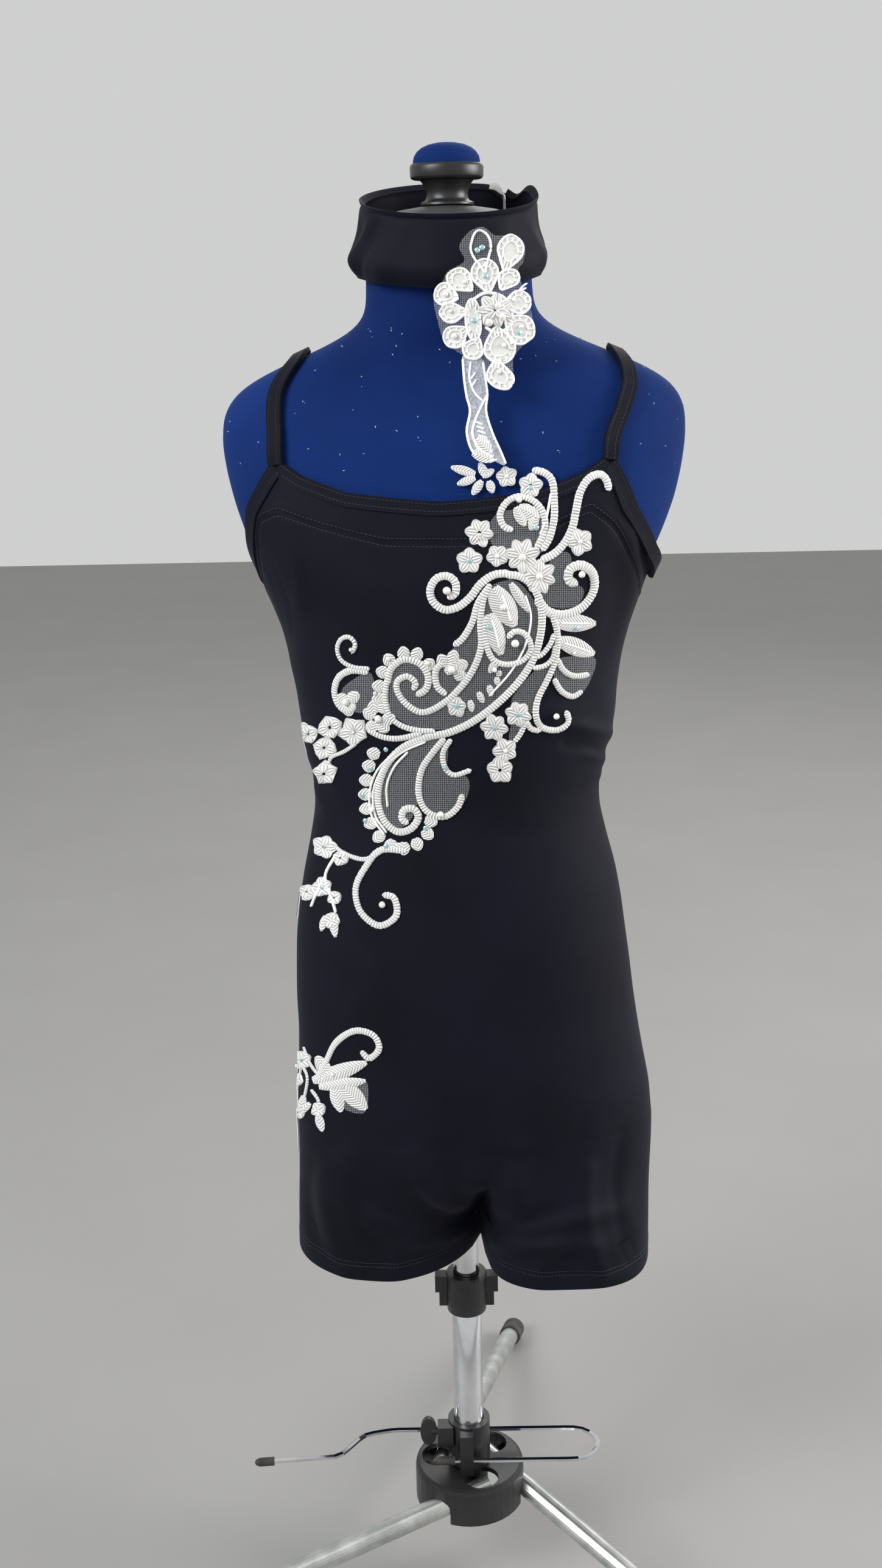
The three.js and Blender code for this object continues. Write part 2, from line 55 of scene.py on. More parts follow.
# ---- camera, at the angle of the view this part was read from ----
PHOTO = (1449.0, 2576.0)
FOCAL_PX = 2900.0
CAM_BACK, CAM_UP = 1167.0, 981.0
PITCH, ROLL, PAN = math.radians(16.25), math.radians(1.18), math.radians(-0.56)
cam_turn = (
    Matrix.Rotation(-PAN, 4, "Z")
    @ Matrix.Rotation(math.pi / 2 - PITCH, 4, "X")
    @ Matrix.Rotation(-ROLL, 4, "Z")
)
cam_mm = np.array([0.0, -CAM_BACK, CAM_UP])
camera = bpy.data.objects.new("camera", bpy.data.cameras.new("camera"))
bpy.context.scene.collection.objects.link(camera)
camera.matrix_world = Matrix.Translation(Vector((cam_mm + AXIS) / 1000)) @ cam_turn
camera.data.lens = FOCAL_PX / PHOTO[1] * 36
camera.data.sensor_width = 36
camera.data.clip_end = 50
bpy.context.scene.camera = camera
VIEW = np.array(cam_turn.to_3x3())


# ---- surfaces, as in the frame ----
# height, centre x, half width, front and back depth, corner exponent
FORM = np.array([
    [396, 8.0, 125, 74.6, 84.6, 2.5], [420, 7.5, 123.6, 76, 86, 2.5], [443, 6.0, 120.6, 77, 86, 2.4],
    [467, 4.5, 118, 77, 86, 2.4], [490, 2.5, 116.6, 77, 85, 2.3], [514, 1.5, 114.8, 77, 83, 2.3],
    [537, 0.5, 112.6, 76, 80, 2.3], [560, 0.5, 109.6, 75, 76, 2.2], [582, 0.5, 105.6, 73, 72, 2.2],
    [604, 0, 100.1, 71, 68, 2.2], [627, -0.5, 95.2, 69, 65, 2.2], [648, -0.5, 94.7, 69, 64, 2.2],
    [670, 0, 100, 72, 65, 2.2], [692, 1, 104, 75, 66, 2.2], [713, 0.5, 105.6, 78, 68, 2.2],
    [734, 0, 109, 81, 70, 2.2], [755, 0.5, 113.6, 84, 72, 2.2], [775, 0.5, 120.5, 85, 74, 2.2],
    [796, 0.5, 128, 85, 76, 2.3], [815, 1, 136, 83, 77, 2.4], [836, 1.5, 143, 80, 77, 2.5],
    [856, 1.5, 147.5, 76, 76, 2.5], [875, 1.5, 150, 71, 74, 2.5], [893, 2, 149, 64, 70, 2.4],
    [906, 3, 142, 57, 64, 2.3], [916, 4, 128, 51, 58, 2.2], [925, 4.5, 108, 46, 53, 2.1],
    [933, 4, 88, 45, 50, 2], [941, 3, 70, 45, 49, 2], [949, 1.5, 58, 46, 49, 2],
    [958, 0.5, 53.5, 47, 49, 2], [978, 0, 52.5, 48, 49, 2], [1004, 0, 51, 48, 48, 2],
])
LEGS = {"left": (-55, 64.8, 60, 68, 2.0), "right": (73.1, 57.7, 74, 72, 3.0)}
HEM_Z, CROTCH_Z, PINCH_TOP, CENTRE_X, CROTCH_HALF = 292, 318, 380, 12.5, 5
CLOTH, KNIT_WALL = 2.6, 1.1  # knit's outer face off the form, and its wall
MM_PER_DEG = 1.7  # about, round the body
HEM_WIDTH, HEM_RISE = 13, 10.5
TOP_EDGE = np.array([
    [-180, 793], [-170, 803], [-160, 822], [-153, 838], [-144, 852], [-137, 864], [-133, 870],
    [-125, 860], [-112, 850], [-92, 844], [-75, 849], [-62, 860], [-55, 870], [-51, 862], [-42, 838],
    [-25, 812], [-10, 796], [0, 793], [20, 798], [40, 815], [55, 842], [70, 838], [90, 835],
    [110, 838], [125, 842], [140, 815], [160, 798], [180, 793],
])
YOKE_SEAM = np.array([
    [-180, 765], [-170, 780], [-155, 812], [-146, 832], [-135, 838], [-118, 828], [-104, 820],
    [-88, 819], [-72, 825], [-60, 838], [-50, 826], [-38, 806], [-20, 780], [0, 765],
])


def rounded(table, step):
    """The table's columns on fine keys, with its corners softened."""
    keys = np.arange(table[0, 0], table[-1, 0] + step / 2, step)
    columns = [np.interp(keys, table[:, 0], table[:, k]) for k in range(1, table.shape[1])]
    kernel = np.hanning(2 * int(12 / step) + 3)[1:-1]
    kernel /= kernel.sum()
    pad = len(kernel) // 2
    soft = []
    for c in columns:
        ends = (2 * c[0] - c[pad:0:-1], c, 2 * c[-1] - c[-2 : -pad - 2 : -1])
        soft.append(np.convolve(np.concatenate(ends), kernel, "valid"))
    return keys, np.array(soft)


FORM_Z, FORM_COLS = rounded(FORM, 1.0)


def section(z):
    """The form's oval at a height."""
    return [np.interp(z, FORM_Z, c) for c in FORM_COLS]


def bell(d, width):
    """1 where d is nought, and nearly nothing from two widths off."""
    return np.exp(-((d / width) ** 2))


def power(v, e):
    """A power that keeps the sign."""
    return np.sign(v) * np.abs(v) ** e


def oval_point(oval, deg, z):
    """A point on a rounded oval: its centre x, half width, front and back depth, corner exponent."""
    x, a, f, b, n = oval
    c, s = np.cos(np.radians(deg)), np.sin(np.radians(deg))
    return np.stack([x + a * power(c, 2 / n), np.where(s < 0, f, b) * power(s, 2 / n), z + 0 * c], -1)


def form_point(deg, z):
    return oval_point(section(z), deg, z)


def leg_depth(leg, px, front):
    """How far a leg reaches forward or back at px, or nothing beside it."""
    x, a, f, b, n = leg
    t = 1 - np.minimum(1, np.abs(px - x) / a) ** n
    return np.where(front, f, b) * t ** (1 / n)


def body_point(deg, z):
    """The worn shape: the form's, and two legs that meet at the crotch below PINCH_TOP."""
    deg, z = np.broadcast_arrays(np.asarray(deg, float), np.asarray(z, float))
    p = form_point(deg, z)
    x0, a = section(z)[:2]
    s = np.clip((z - CROTCH_Z) / (PINCH_TOP - CROTCH_Z), 0, 1)
    s = s * s * (3 - 2 * s)
    lo, hi = LEGS["left"][0] - LEGS["left"][1], LEGS["right"][0] + LEGS["right"][1]
    x = lo + (hi - lo) * (p[..., 0] - x0 + a) / (2 * a)
    front = p[..., 1] < 0
    legs = np.maximum(leg_depth(LEGS["left"], x, front), leg_depth(LEGS["right"], x, front))
    near = CROTCH_HALF * bell(x - CENTRE_X, 12)
    y = np.hypot(legs, near) * np.where(front, -1, 1)
    return np.stack([x + (p[..., 0] - x) * s, y + (p[..., 1] - y) * s, z], -1)


def normals(surface, deg, z):
    """Unit vectors that point out of a surface."""
    du = surface(deg + 0.8, z) - surface(deg - 0.8, z)
    dv = surface(deg, z + 1.5) - surface(deg, z - 1.5)
    n = np.cross(du, dv)
    return n / np.maximum(np.linalg.norm(n, axis=-1, keepdims=True), 1e-9)


def lifted(surface, deg, z, off):
    """Points on a surface moved out by off."""
    off = np.asarray(off, float)
    return surface(deg, z) + normals(surface, deg, z) * (off[..., None] if off.ndim else off)


def ray_at_y(px, py, y):
    """Points in mm on planes of constant y, behind these pixels of the view."""
    d = np.stack([(px - PHOTO[0] / 2) / FOCAL_PX, -(py - PHOTO[1] / 2) / FOCAL_PX, -np.ones_like(px)], -1)
    d = d @ VIEW.T
    t = (y - cam_mm[1]) / d[..., 1]
    return cam_mm + d * t[..., None]


def on_cloth(points, lift=CLOTH):
    """Degrees and height on the body under pixels of the view."""
    px, py = np.array(points, float).T
    ys = np.linspace(-125, 60, 240)[:, None]
    q = ray_at_y(px[None, :] + 0 * ys, py[None, :] + 0 * ys, ys + 0 * px[None, :])
    x, a, f, b, n = section(q[..., 2])
    depth = np.where(q[..., 1] < 0, f, b) + lift
    level = (np.abs(q[..., 0] - x) / (a + lift)) ** n + (np.abs(q[..., 1]) / depth) ** n
    level += np.where(q[..., 1] > 55, -9, 0)
    first = np.maximum(1, np.argmax(level <= 1, axis=0))
    k = np.arange(len(px))
    l0, l1 = level[first - 1, k], level[first, k]
    t = np.clip((l0 - 1) / np.maximum(l0 - l1, 1e-6), 0, 1)[:, None]
    p = q[first - 1, k] + (q[first, k] - q[first - 1, k]) * t
    x, a, f, b, n = section(p[:, 2])
    c = np.clip((p[:, 0] - x) / (a + lift), -1, 1)
    deg = -np.degrees(np.arccos(np.clip(power(c, n / 2), -1, 1)))
    return deg, p[:, 2]


# ---- meshes ----
def make(name, verts, faces, mat, body="form", slot="knit", uv=None):
    """One piece from points in mm about the pole."""
    mesh = bpy.data.meshes.new(name)
    mesh.from_pydata(((np.asarray(verts) + AXIS) / 1000).tolist(), [], faces)
    mesh.materials.append(mat)
    if uv is not None:
        layer = mesh.uv_layers.new(name="mm")
        flat = np.asarray(uv)[[i for f in faces for i in f]]
        layer.data.foreach_set("uv", flat.astype(np.float32).ravel())
    mesh.polygons.foreach_set("use_smooth", [True] * len(mesh.polygons))
    mesh.validate()
    o = bpy.data.objects.new(name, mesh)
    bpy.context.scene.collection.objects.link(o)
    mesh.set_sharp_from_angle(angle=math.radians(50))
    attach(o, body)
    return o


def grid_faces(nu, nv, ring=False, base=0, flip=False):
    """Four-sided faces between the points of a grid, as a ring in its first direction if asked."""
    i, j = np.meshgrid(np.arange(nu if ring else nu - 1), np.arange(nv - 1), indexing="ij")
    k = (i + 1) % nu
    f = np.stack([i * nv + j, k * nv + j, k * nv + j + 1, i * nv + j + 1], -1).reshape(-1, 4) + base
    return (f[:, ::-1] if flip else f).tolist()


def shell(name, outer, inner, mat, ring=False, uv=None):
    """A closed thin wall between two grids of points."""
    nu, nv = outer.shape[:2]
    verts = np.concatenate([outer.reshape(-1, 3), inner.reshape(-1, 3)])
    n = nu * nv
    faces = grid_faces(nu, nv, ring) + grid_faces(nu, nv, ring, n, True)
    last = nu if ring else nu - 1
    for i in range(last):
        k = (i + 1) % nu
        faces.append([i * nv, n + i * nv, n + k * nv, k * nv])
        faces.append([i * nv + nv - 1, k * nv + nv - 1, n + k * nv + nv - 1, n + i * nv + nv - 1])
    if not ring:
        for j in range(nv - 1):
            faces.append([j, j + 1, n + j + 1, n + j])
            e = (nu - 1) * nv + j
            faces.append([e + 1, e, n + e, n + e + 1])
    if uv is not None:
        uv = np.concatenate([uv.reshape(-1, 2)] * 2)
    return make(name, verts, faces, mat, uv=uv)


def smooth_path(points, step, closed=False):
    """A Catmull-Rom line through points of any dimension, with points about step apart."""
    p = np.array(points, float)
    if closed:
        ext = np.concatenate([p[-1:], p, p[:2]])
    else:
        ext = np.concatenate([[2 * p[0] - p[1]], p, [2 * p[-1] - p[-2]]])
    out = []
    for i in range(len(ext) - 3):
        a, b, c, d = ext[i : i + 4]
        n = max(2, int(np.linalg.norm(c - b) / step) + 1)
        t = np.linspace(0, 1, n, endpoint=False)[:, None]
        out.append(0.5 * (2 * b + (c - a) * t + (2 * a - 5 * b + 4 * c - d) * t * t
                          + (3 * b - a - 3 * c + d) * t ** 3))
    if not closed:
        out.append(p[-1:])
    return np.concatenate(out)


class Bag:
    """Gathers many small forms into one mesh."""

    def __init__(self):
        self.v, self.f, self.uv, self.n = [], [], [], 0

    def add(self, verts, faces, uv):
        self.v.append(np.asarray(verts, float))
        self.uv.append(np.asarray(uv, float))
        self.f += [tuple(i + self.n for i in f) for f in faces]
        self.n += len(verts)

    def build(self, name, mat, **kw):
        return make(name, np.concatenate(self.v), self.f, mat, uv=np.concatenate(self.uv), **kw)


# Sections of a band: across from -1 to 1, and height from 0 to 1.
BAND = [(-1, 0), (-0.97, 0.5), (-0.7, 0.85), (0, 1), (0.7, 0.85), (0.97, 0.5), (1, 0)]
FLAT_BAND = [(-1, 0.1), (-1, 0.8), (-0.93, 1), (-0.55, 0.94), (0, 0.97), (0.55, 0.94), (0.93, 1), (1, 0.8),
             (1, 0.1)]
SMOOTH_AT = 2.3  # place in the stitch pattern, with its painted groove shade, that a smooth cord takes


def ribbon(bag, points, norms, width, thick, profile=BAND, taper=0.0, wobble=None, stitched=True):
    """A closed band along points, standing up along norms."""
    p, n = np.asarray(points, float), np.asarray(norms, float)
    t = np.gradient(p, axis=0)
    t /= np.maximum(np.linalg.norm(t, axis=1, keepdims=True), 1e-9)
    side = np.cross(t, n)
    side /= np.maximum(np.linalg.norm(side, axis=1, keepdims=True), 1e-9)
    length = np.concatenate([[0], np.cumsum(np.linalg.norm(np.diff(p, axis=0), axis=1))])
    w = np.full(len(p), width / 2.0)
    if taper:
        ends = np.minimum(length, length[-1] - length) / (taper * width)
        w = w * np.clip(0.25 + 0.75 * np.sqrt(np.clip(ends, 0, 1)), 0, 1)
    if wobble is not None:
        w = w * wobble(length)
    m = len(profile)
    ring = [p + side * (w * a)[:, None] + n * (thick * h) for a, h in profile]
    verts = np.stack(ring, 1).reshape(-1, 3)
    along = length if stitched else 0 * length + SMOOTH_AT
    uv = np.stack([np.stack([along, w * a], 1) for a, _ in profile], 1).reshape(-1, 2)
    faces = []
    for i in range(len(p) - 1):
        for j in range(m):
            k = (j + 1) % m
            faces.append((i * m + j, (i + 1) * m + j, (i + 1) * m + k, i * m + k))
    faces += [tuple(range(m)), tuple(reversed(range((len(p) - 1) * m, len(p) * m)))]
    bag.add(verts, outward(verts, faces), uv)


def outward(verts, faces):
    """The faces of a closed form, turned to face out. A long form is judged by its first and last faces."""
    v = verts - verts.mean(0)
    total = sum(np.dot(v[f[0]], np.cross(v[f[k]], v[f[k + 1]])) for f in faces[-40:] + faces[:400]
                for k in range(1, len(f) - 1))
    return faces if total > 0 else [tuple(reversed(f)) for f in faces]


def lathe(name, profile, mat, body, slot, sides=64):
    """A turned form: profile is a closed line of radius and height."""
    pr = np.array(profile, float)
    a = np.linspace(0, 2 * np.pi, sides, endpoint=False)
    v = np.stack([np.outer(np.cos(a), pr[:, 0]), np.outer(np.sin(a), pr[:, 0]),
                  np.outer(np.ones(sides), pr[:, 1])], -1).reshape(-1, 3)
    m = len(pr)
    faces = []
    for i in range(sides):
        k = (i + 1) % sides
        for j in range(m):
            q = (j + 1) % m
            if pr[j, 0] < 1e-6 and pr[q, 0] < 1e-6:
                continue
            faces.append((i * m + j, k * m + j, k * m + q, i * m + q))
    uv = np.stack([np.repeat(a * pr[:, 0].max(), m), np.tile(pr[:, 1], sides)], 1)
    o = make(name, v, outward(v, faces), mat, body=body, slot=slot, uv=uv)
    clean = o.modifiers.new("weld", "WELD")
    clean.merge_threshold = 1e-5
    return o


# ---- materials ----
def material(name, colour, rough, metal=0.0, **sockets):
    m = bpy.data.materials.new(name)
    m.use_nodes = True
    b = m.node_tree.nodes["Principled BSDF"]
    b.inputs["Base Color"].default_value = (*colour, 1)
    b.inputs["Roughness"].default_value = rough
    b.inputs["Metallic"].default_value = metal
    for k, v in sockets.items():
        b.inputs[k.replace("_", " ")].default_value = v
    return m


def node(m, kind, **props):
    """A node of the material. A prop sets the socket of its name, or else the node's own setting."""
    n = m.node_tree.nodes.new("ShaderNode" + kind)
    for k, v in props.items():
        if k.replace("_", " ") in n.inputs:
            n.inputs[k.replace("_", " ")].default_value = v
        else:
            setattr(n, k, v)
    return n


def link(m, a, out, b, inp):
    m.node_tree.links.new(a.outputs[out], b.inputs[inp])


def texture(m, kind, scale, space="Object", **props):
    """A texture on Object coordinates in m or UV coordinates in mm, times scale."""
    n = node(m, "Tex" + kind, **props)
    place = node(m, "Mapping", Scale=scale)
    link(m, node(m, "TexCoord"), space, place, "Vector")
    link(m, place, "Vector", n, "Vector")
    return n


def ramp(m, source, out, socket, low, high, start=0.0, end=1.0):
    """A socket of the material follows a texture, from low to high."""
    r = node(m, "ValToRGB")
    for stop, value, at in zip(r.color_ramp.elements, (low, high), (start, end)):
        stop.color = (*(value if isinstance(value, tuple) else (value,) * 3), 1)
        stop.position = at
    link(m, source, out, r, "Fac")
    link(m, r, "Color", m.node_tree.nodes["Principled BSDF"], socket)


def mottle(m, dark, light, scale):
    """The base colour drifts between two colours."""
    drift = texture(m, "Noise", (scale,) * 3, Scale=1.0, Detail=4.0)
    ramp(m, drift, "Fac", "Base Color", dark, light, 0.35, 0.65)


def bump(m, source, strength, distance):
    b = node(m, "Bump", Strength=strength, Distance=distance)
    link(m, source, "Fac", b, "Height")
    link(m, b, "Normal", m.node_tree.nodes["Principled BSDF"], "Normal")


KNIT = material("knit", (0.008, 0.009, 0.016), 0.72, Specular_IOR_Level=0.17, Sheen_Weight=0.07,
                Sheen_Roughness=0.3, Sheen_Tint=(0.62, 0.6, 0.78, 1))
mottle(KNIT, (0.0016, 0.002, 0.0064), (0.0029, 0.0036, 0.0106), 14.0)
bump(KNIT, node(KNIT, "TexNoise", Scale=900.0, Detail=2.0), 0.25, 0.0003)

JERSEY = material("form_jersey", (0.006, 0.03, 0.16), 0.85, Specular_IOR_Level=0.14, Sheen_Weight=0.1,
                  Sheen_Roughness=0.4, Sheen_Tint=(0.15, 0.4, 1.0, 1))
mottle(JERSEY, (0.0014, 0.014, 0.09), (0.003, 0.023, 0.136), 9.0)
bump(JERSEY, texture(JERSEY, "Noise", (60, 60, 900), Scale=1.0, Detail=3.0), 0.5, 0.0005)

LACE = material("lace", (0.8, 0.78, 0.72), 0.42, Sheen_Weight=0.3, Specular_IOR_Level=0.6)
# The stitch bands raise ridges by bump and also darken the base colour in the grooves between stitches:
# painted shade.
stitch = texture(LACE, "Wave", (1, 0.12, 1), "UV", Scale=0.17, Distortion=1.1, Detail=1.5, Detail_Scale=2.0)
ramp(LACE, stitch, "Fac", "Base Color", (0.5, 0.49, 0.47), (0.97, 0.965, 0.945), 0.08, 0.3)
bump(LACE, stitch, 0.7, 0.001)

NET = material("net", (0.5, 0.51, 0.53), 0.7)
cells = texture(NET, "Voronoi", (1, 1, 1), "UV", feature="DISTANCE_TO_EDGE", Scale=0.75, Randomness=0.25)
ramp(NET, cells, "Distance", "Alpha", 0.24, 0.03, 0.1, 0.2)
SHEER = material("sheer", (0.74, 0.76, 0.8), 0.6, Sheen_Weight=0.3)
ramp(SHEER, texture(SHEER, "Voronoi", (1, 1, 1), "UV", Scale=0.7), "Distance", "Alpha", 0.16, 0.55)
ORGANZA = material("organza", (0.86, 0.86, 0.83), 0.55, Sheen_Weight=0.4)
ramp(ORGANZA, texture(ORGANZA, "Voronoi", (1, 1, 1), "UV", Scale=0.9), "Distance", "Alpha", 0.66, 0.95)

PEARL = material("pearl", (0.86, 0.83, 0.76), 0.18, Coat_Weight=0.6, Coat_Roughness=0.1)
mottle(PEARL, (0.8, 0.76, 0.7), (0.9, 0.88, 0.83), 300.0)
SEQUIN = material("sequin", (0.45, 0.8, 0.78), 0.15, 0.6, Thin_Film_Thickness=420.0)
mottle(SEQUIN, (0.35, 0.75, 0.75), (0.6, 0.8, 0.9), 500.0)
CHROME = material("chrome", (0.75, 0.76, 0.78), 0.12, 1.0)
mottle(CHROME, (0.66, 0.67, 0.69), (0.8, 0.81, 0.83), 40.0)
bump(CHROME, texture(CHROME, "Noise", (30, 30, 900), Scale=1.0, Detail=4.0), 0.05, 0.0002)
ZINC = material("zinc", (0.62, 0.64, 0.62), 0.34, 1.0)
mottle(ZINC, (0.5, 0.52, 0.5), (0.72, 0.73, 0.71), 70.0)
PLASTIC = material("black_plastic", (0.012, 0.012, 0.013), 0.34, Specular_IOR_Level=0.5)
mottle(PLASTIC, (0.008, 0.008, 0.009), (0.02, 0.02, 0.021), 25.0)
bump(PLASTIC, node(PLASTIC, "TexNoise", Scale=700.0, Detail=3.0), 0.12, 0.0003)
RUBBER = material("foot_rubber", (0.03, 0.028, 0.027), 0.75)
mottle(RUBBER, (0.018, 0.017, 0.016), (0.06, 0.055, 0.05), 90.0)
THREAD = material("thread", (0.012, 0.013, 0.022), 0.6, Sheen_Weight=0.4)
CAP_GREY = material("neck_cap", (0.03, 0.031, 0.033), 0.5)
mottle(CAP_GREY, (0.02, 0.02, 0.022), (0.05, 0.05, 0.053), 30.0)


# ---- dress form ----
def groove(x, at, width, depth):
    return depth * bell(x - at, width)


FORM_FOOT, FORM_TOP = 396, 1004
SHOULDER_SEAM_FROM = 10.185  # mm off the middle


def form_relief(z, p):
    """Seams of the form's cover: centre front and back, shoulders and sides."""
    x, y = p[..., 0], p[..., 1]
    cut = groove(x, 0.0, 0.9, 0.6)
    cut += groove(y, 4.0, 1.0, 0.5) * (z > 880) * (z < 960) * (np.abs(x) > SHOULDER_SEAM_FROM)
    cut += groove(np.abs(y), 0.0, 1.0, 0.4) * (z < 880)
    return -cut


D, Z = np.meshgrid(np.linspace(0, 360, 160, endpoint=False), np.linspace(FORM_FOOT, FORM_TOP - 0.5, 230),
                   indexing="ij")
P = lifted(form_point, D, Z, form_relief(Z, form_point(D, Z)))
nu, nv = P.shape[:2]
verts = P.reshape(-1, 3)
faces = grid_faces(nu, nv, True)
top, bottom = len(verts), len(verts) + 1
verts = np.concatenate([verts, [[0, 0, FORM_TOP], [0, 0, FORM_FOOT]]])
faces += [(i * nv + nv - 1, ((i + 1) % nu) * nv + nv - 1, top) for i in range(nu)]
faces += [(((i + 1) % nu) * nv, i * nv, bottom) for i in range(nu)]
uv = np.concatenate([np.stack([D * 1.6, Z], -1).reshape(-1, 2), [[0, 0], [0, 0]]])
torso = make("dress_form", verts, outward(verts, faces), JERSEY, slot="form_jersey", uv=uv)
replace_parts(torso, "form_torso")

# Lint on the jersey above the neckline.
lint = Bag()
for _ in range(70):
    d, z = random.uniform(-178, -2), random.uniform(860, 950)
    q = lifted(form_point, np.array(d), np.array(z), 0.15)
    s = random.uniform(0.25, 0.6)
    w = random.uniform(0, math.pi)
    ax = np.array([math.cos(w), 0, math.sin(w)]) * s * 1.8
    up = np.array([-math.sin(w), 0, math.cos(w)]) * s * 0.6
    lint.add([q - ax, q + up, q + ax, q - up], [(0, 1, 2, 3)], [[0, 0]] * 4)
lint.build("lint", material("lint", (0.45, 0.5, 0.6), 0.9), slot="form_jersey")

# Turned pieces on the neck: name, node, material, sides, radius and height.
NECK_PIECES = [
    ("form_neck_cap", "neck_cap", CAP_GREY, 96,
     [(0, 1004.3), (48, 1004.3), (49, 1005.5), (48.6, 1008), (46, 1011.2), (40, 1014.2), (30, 1016.9),
      (20, 1018.4), (16.4, 1018.9), (16, 1019.0), (0, 1019)]),
    ("knob_neck", "knob_spool", PLASTIC, 64,
     [(0, 1019.3), (16.4, 1019.3), (17, 1020), (16.8, 1021.2), (14, 1022.4), (13.2, 1024), (13, 1027),
      (13.8, 1030), (15.6, 1033), (17, 1034.6), (0, 1034.6)]),
    ("knob_rim", "knob_ring", PLASTIC, 96,
     [(0, 1034.9), (21, 1034.9), (22.4, 1035.5), (23, 1036.8), (23.1, 1042), (22.7, 1043.6), (21.8, 1044.4),
      (21.3, 1044), (21.2, 1043), (0, 1043)]),
]
for name, stands_for, mat, sides, profile in NECK_PIECES:
    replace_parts(lathe(name, profile, mat, "form", "black_plastic", sides), stands_for)
PIN_DOME = [(0, 1043.4), (20.9, 1043.4), (21, 1046), (20.4, 1048.6), (18.6, 1051.4), (15.6, 1053.8),
            (11.4, 1055.6), (6, 1056.7), (2, 1057), (0, 1057)]
pad = lathe("pin_dome", PIN_DOME, JERSEY, "form", "form_jersey", 96)
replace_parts(pad, "pincushion")


# ---- the unitard's body ----
# Creases, listed: ends as x and z in mm, half width, height; the last column is the side.
CREASES = [
    (62, 700, 104, 676, 5, 2.2, "front"), (70, 684, 100, 664, 4, -1.8, "front"),
    (84, 676, 103, 650, 5, 1.8, "front"), (40, 706, 78, 704, 7, 1.2, "front"),
    (88, 655, 104, 636, 4, 1.2, "front"), (-96, 668, -74, 650, 6, 1.4, "front"),
    (-98, 648, -84, 630, 5, 1.0, "front"), (-20, 640, 40, 628, 14, -0.7, "front"),
    (10, 322, -34, 366, 8, -2.6, "front"), (-6, 318, -66, 342, 7, 1.9, "front"),
    (18, 326, 62, 350, 8, -2.2, "front"), (24, 318, 92, 326, 6, 1.8, "front"),
    (14, 340, 30, 392, 9, -2.4, "front"), (8, 344, -10, 400, 10, -1.8, "front"),
    (96, 302, 86, 380, 7, 2.0, "front"), (116, 306, 108, 400, 6, -1.8, "front"),
    (-84, 300, -92, 384, 9, 1.8, "front"), (-104, 306, -106, 376, 6, -1.5, "front"),
    (52, 300, 70, 336, 8, 1.3, "front"), (-50, 300, -40, 330, 9, 1.2, "front"),
    (-8, 350, -34, 398, 9, 1.5, "front"), (42, 350, 34, 400, 9, 1.4, "front"),
    (-18, 336, -88, 362, 6, 1.2, "front"), (36, 334, 108, 346, 6, 1.2, "front"),
    (-70, 310, -80, 392, 8, 1.3, "front"), (78, 350, 92, 408, 8, 1.1, "front"),
    (-108, 838, -96, 780, 5, 1.3, "front"), (-120, 812, -108, 740, 6, -1.2, "front"),
    (112, 820, 104, 752, 6, 1.2, "front"), (100, 800, 88, 730, 8, -0.8, "front"),
    (-90, 660, -30, 640, 9, 1.8, "back"), (30, 650, 88, 668, 8, 1.7, "back"),
    (-60, 630, 10, 622, 10, -1.6, "back"), (10, 325, -50, 352, 8, 2.2, "back"),
    (16, 325, 70, 350, 9, 2.0, "back"), (12, 345, 14, 430, 9, -2.2, "back"),
    (-90, 300, -84, 370, 8, 1.6, "back"), (100, 300, 92, 372, 7, 1.5, "back"),
    (-40, 800, -36, 720, 12, 1.0, "back"), (50, 806, 40, 716, 11, 1.0, "back"),
]


def creases(p, side):
    """Height of the creases of one side. Those near the legs stand out more."""
    x, z = p[..., 0], p[..., 2]
    out = np.zeros_like(x)
    for x0, z0, x1, z1, half, height, where in CREASES:
        if where != side:
            continue
        ux, uz = x1 - x0, z1 - z0
        t = ((x - x0) * ux + (z - z0) * uz) / (ux * ux + uz * uz)
        tc = np.clip(t, 0, 1)
        bend = 0.08 * math.hypot(ux, uz) * np.sin(math.pi * tc)
        nx, nz = -uz / math.hypot(ux, uz), ux / math.hypot(ux, uz)
        d = np.hypot(x - x0 - tc * ux - nx * bend, z - z0 - tc * uz - nz * bend)
        high = 2.1 if height > 0 and z0 < 420 else 1.35
        out += high * height * bell(d, half) * (0.35 + 0.65 * np.sin(math.pi * (0.15 + 0.7 * tc)))
    return out


def top_z(deg):
    """Height of the garment's top edge."""
    return np.interp(deg, TOP_EDGE[:, 0], TOP_EDGE[:, 1])


def hem_z(x):
    """Height of the hem. It lifts towards the crotch, slowly over the left leg and at once over the right."""
    left = np.clip((x + 60) / (CENTRE_X + 60), 0, 1) ** 2
    right = bell(x - CENTRE_X, 6)
    return HEM_Z + HEM_RISE * np.where(x < CENTRE_X, left, right)


def relief(p, deg, z, side):
    """How far the cloth stands off its plain surface: creases, seams and the turned hem."""
    lift = creases(p, side) * (1 - bell(p[..., 1], 11))
    lift = lift + 0.5 * np.sin(p[..., 0] / 23 + p[..., 2] / 31) * np.sin(p[..., 2] / 17) * (z < 400)
    if side == "front":
        away = (z - np.interp(deg, YOKE_SEAM[:, 0], YOKE_SEAM[:, 1])) * yoke_cos(deg)
        lift = lift - 0.9 * bell(away, 1.1) + 0.35 * bell(away - 2.6, 1.8)
    edge = z - hem_z(p[..., 0])
    lift = lift + 0.5 * np.clip(1 - edge / HEM_WIDTH, 0, 1) ** 0.3 * (edge < HEM_WIDTH)
    lift = lift - 0.55 * bell(edge - HEM_WIDTH, 0.9)
    return np.where(z > PINCH_TOP + 14, np.maximum(lift, -1.1), lift)


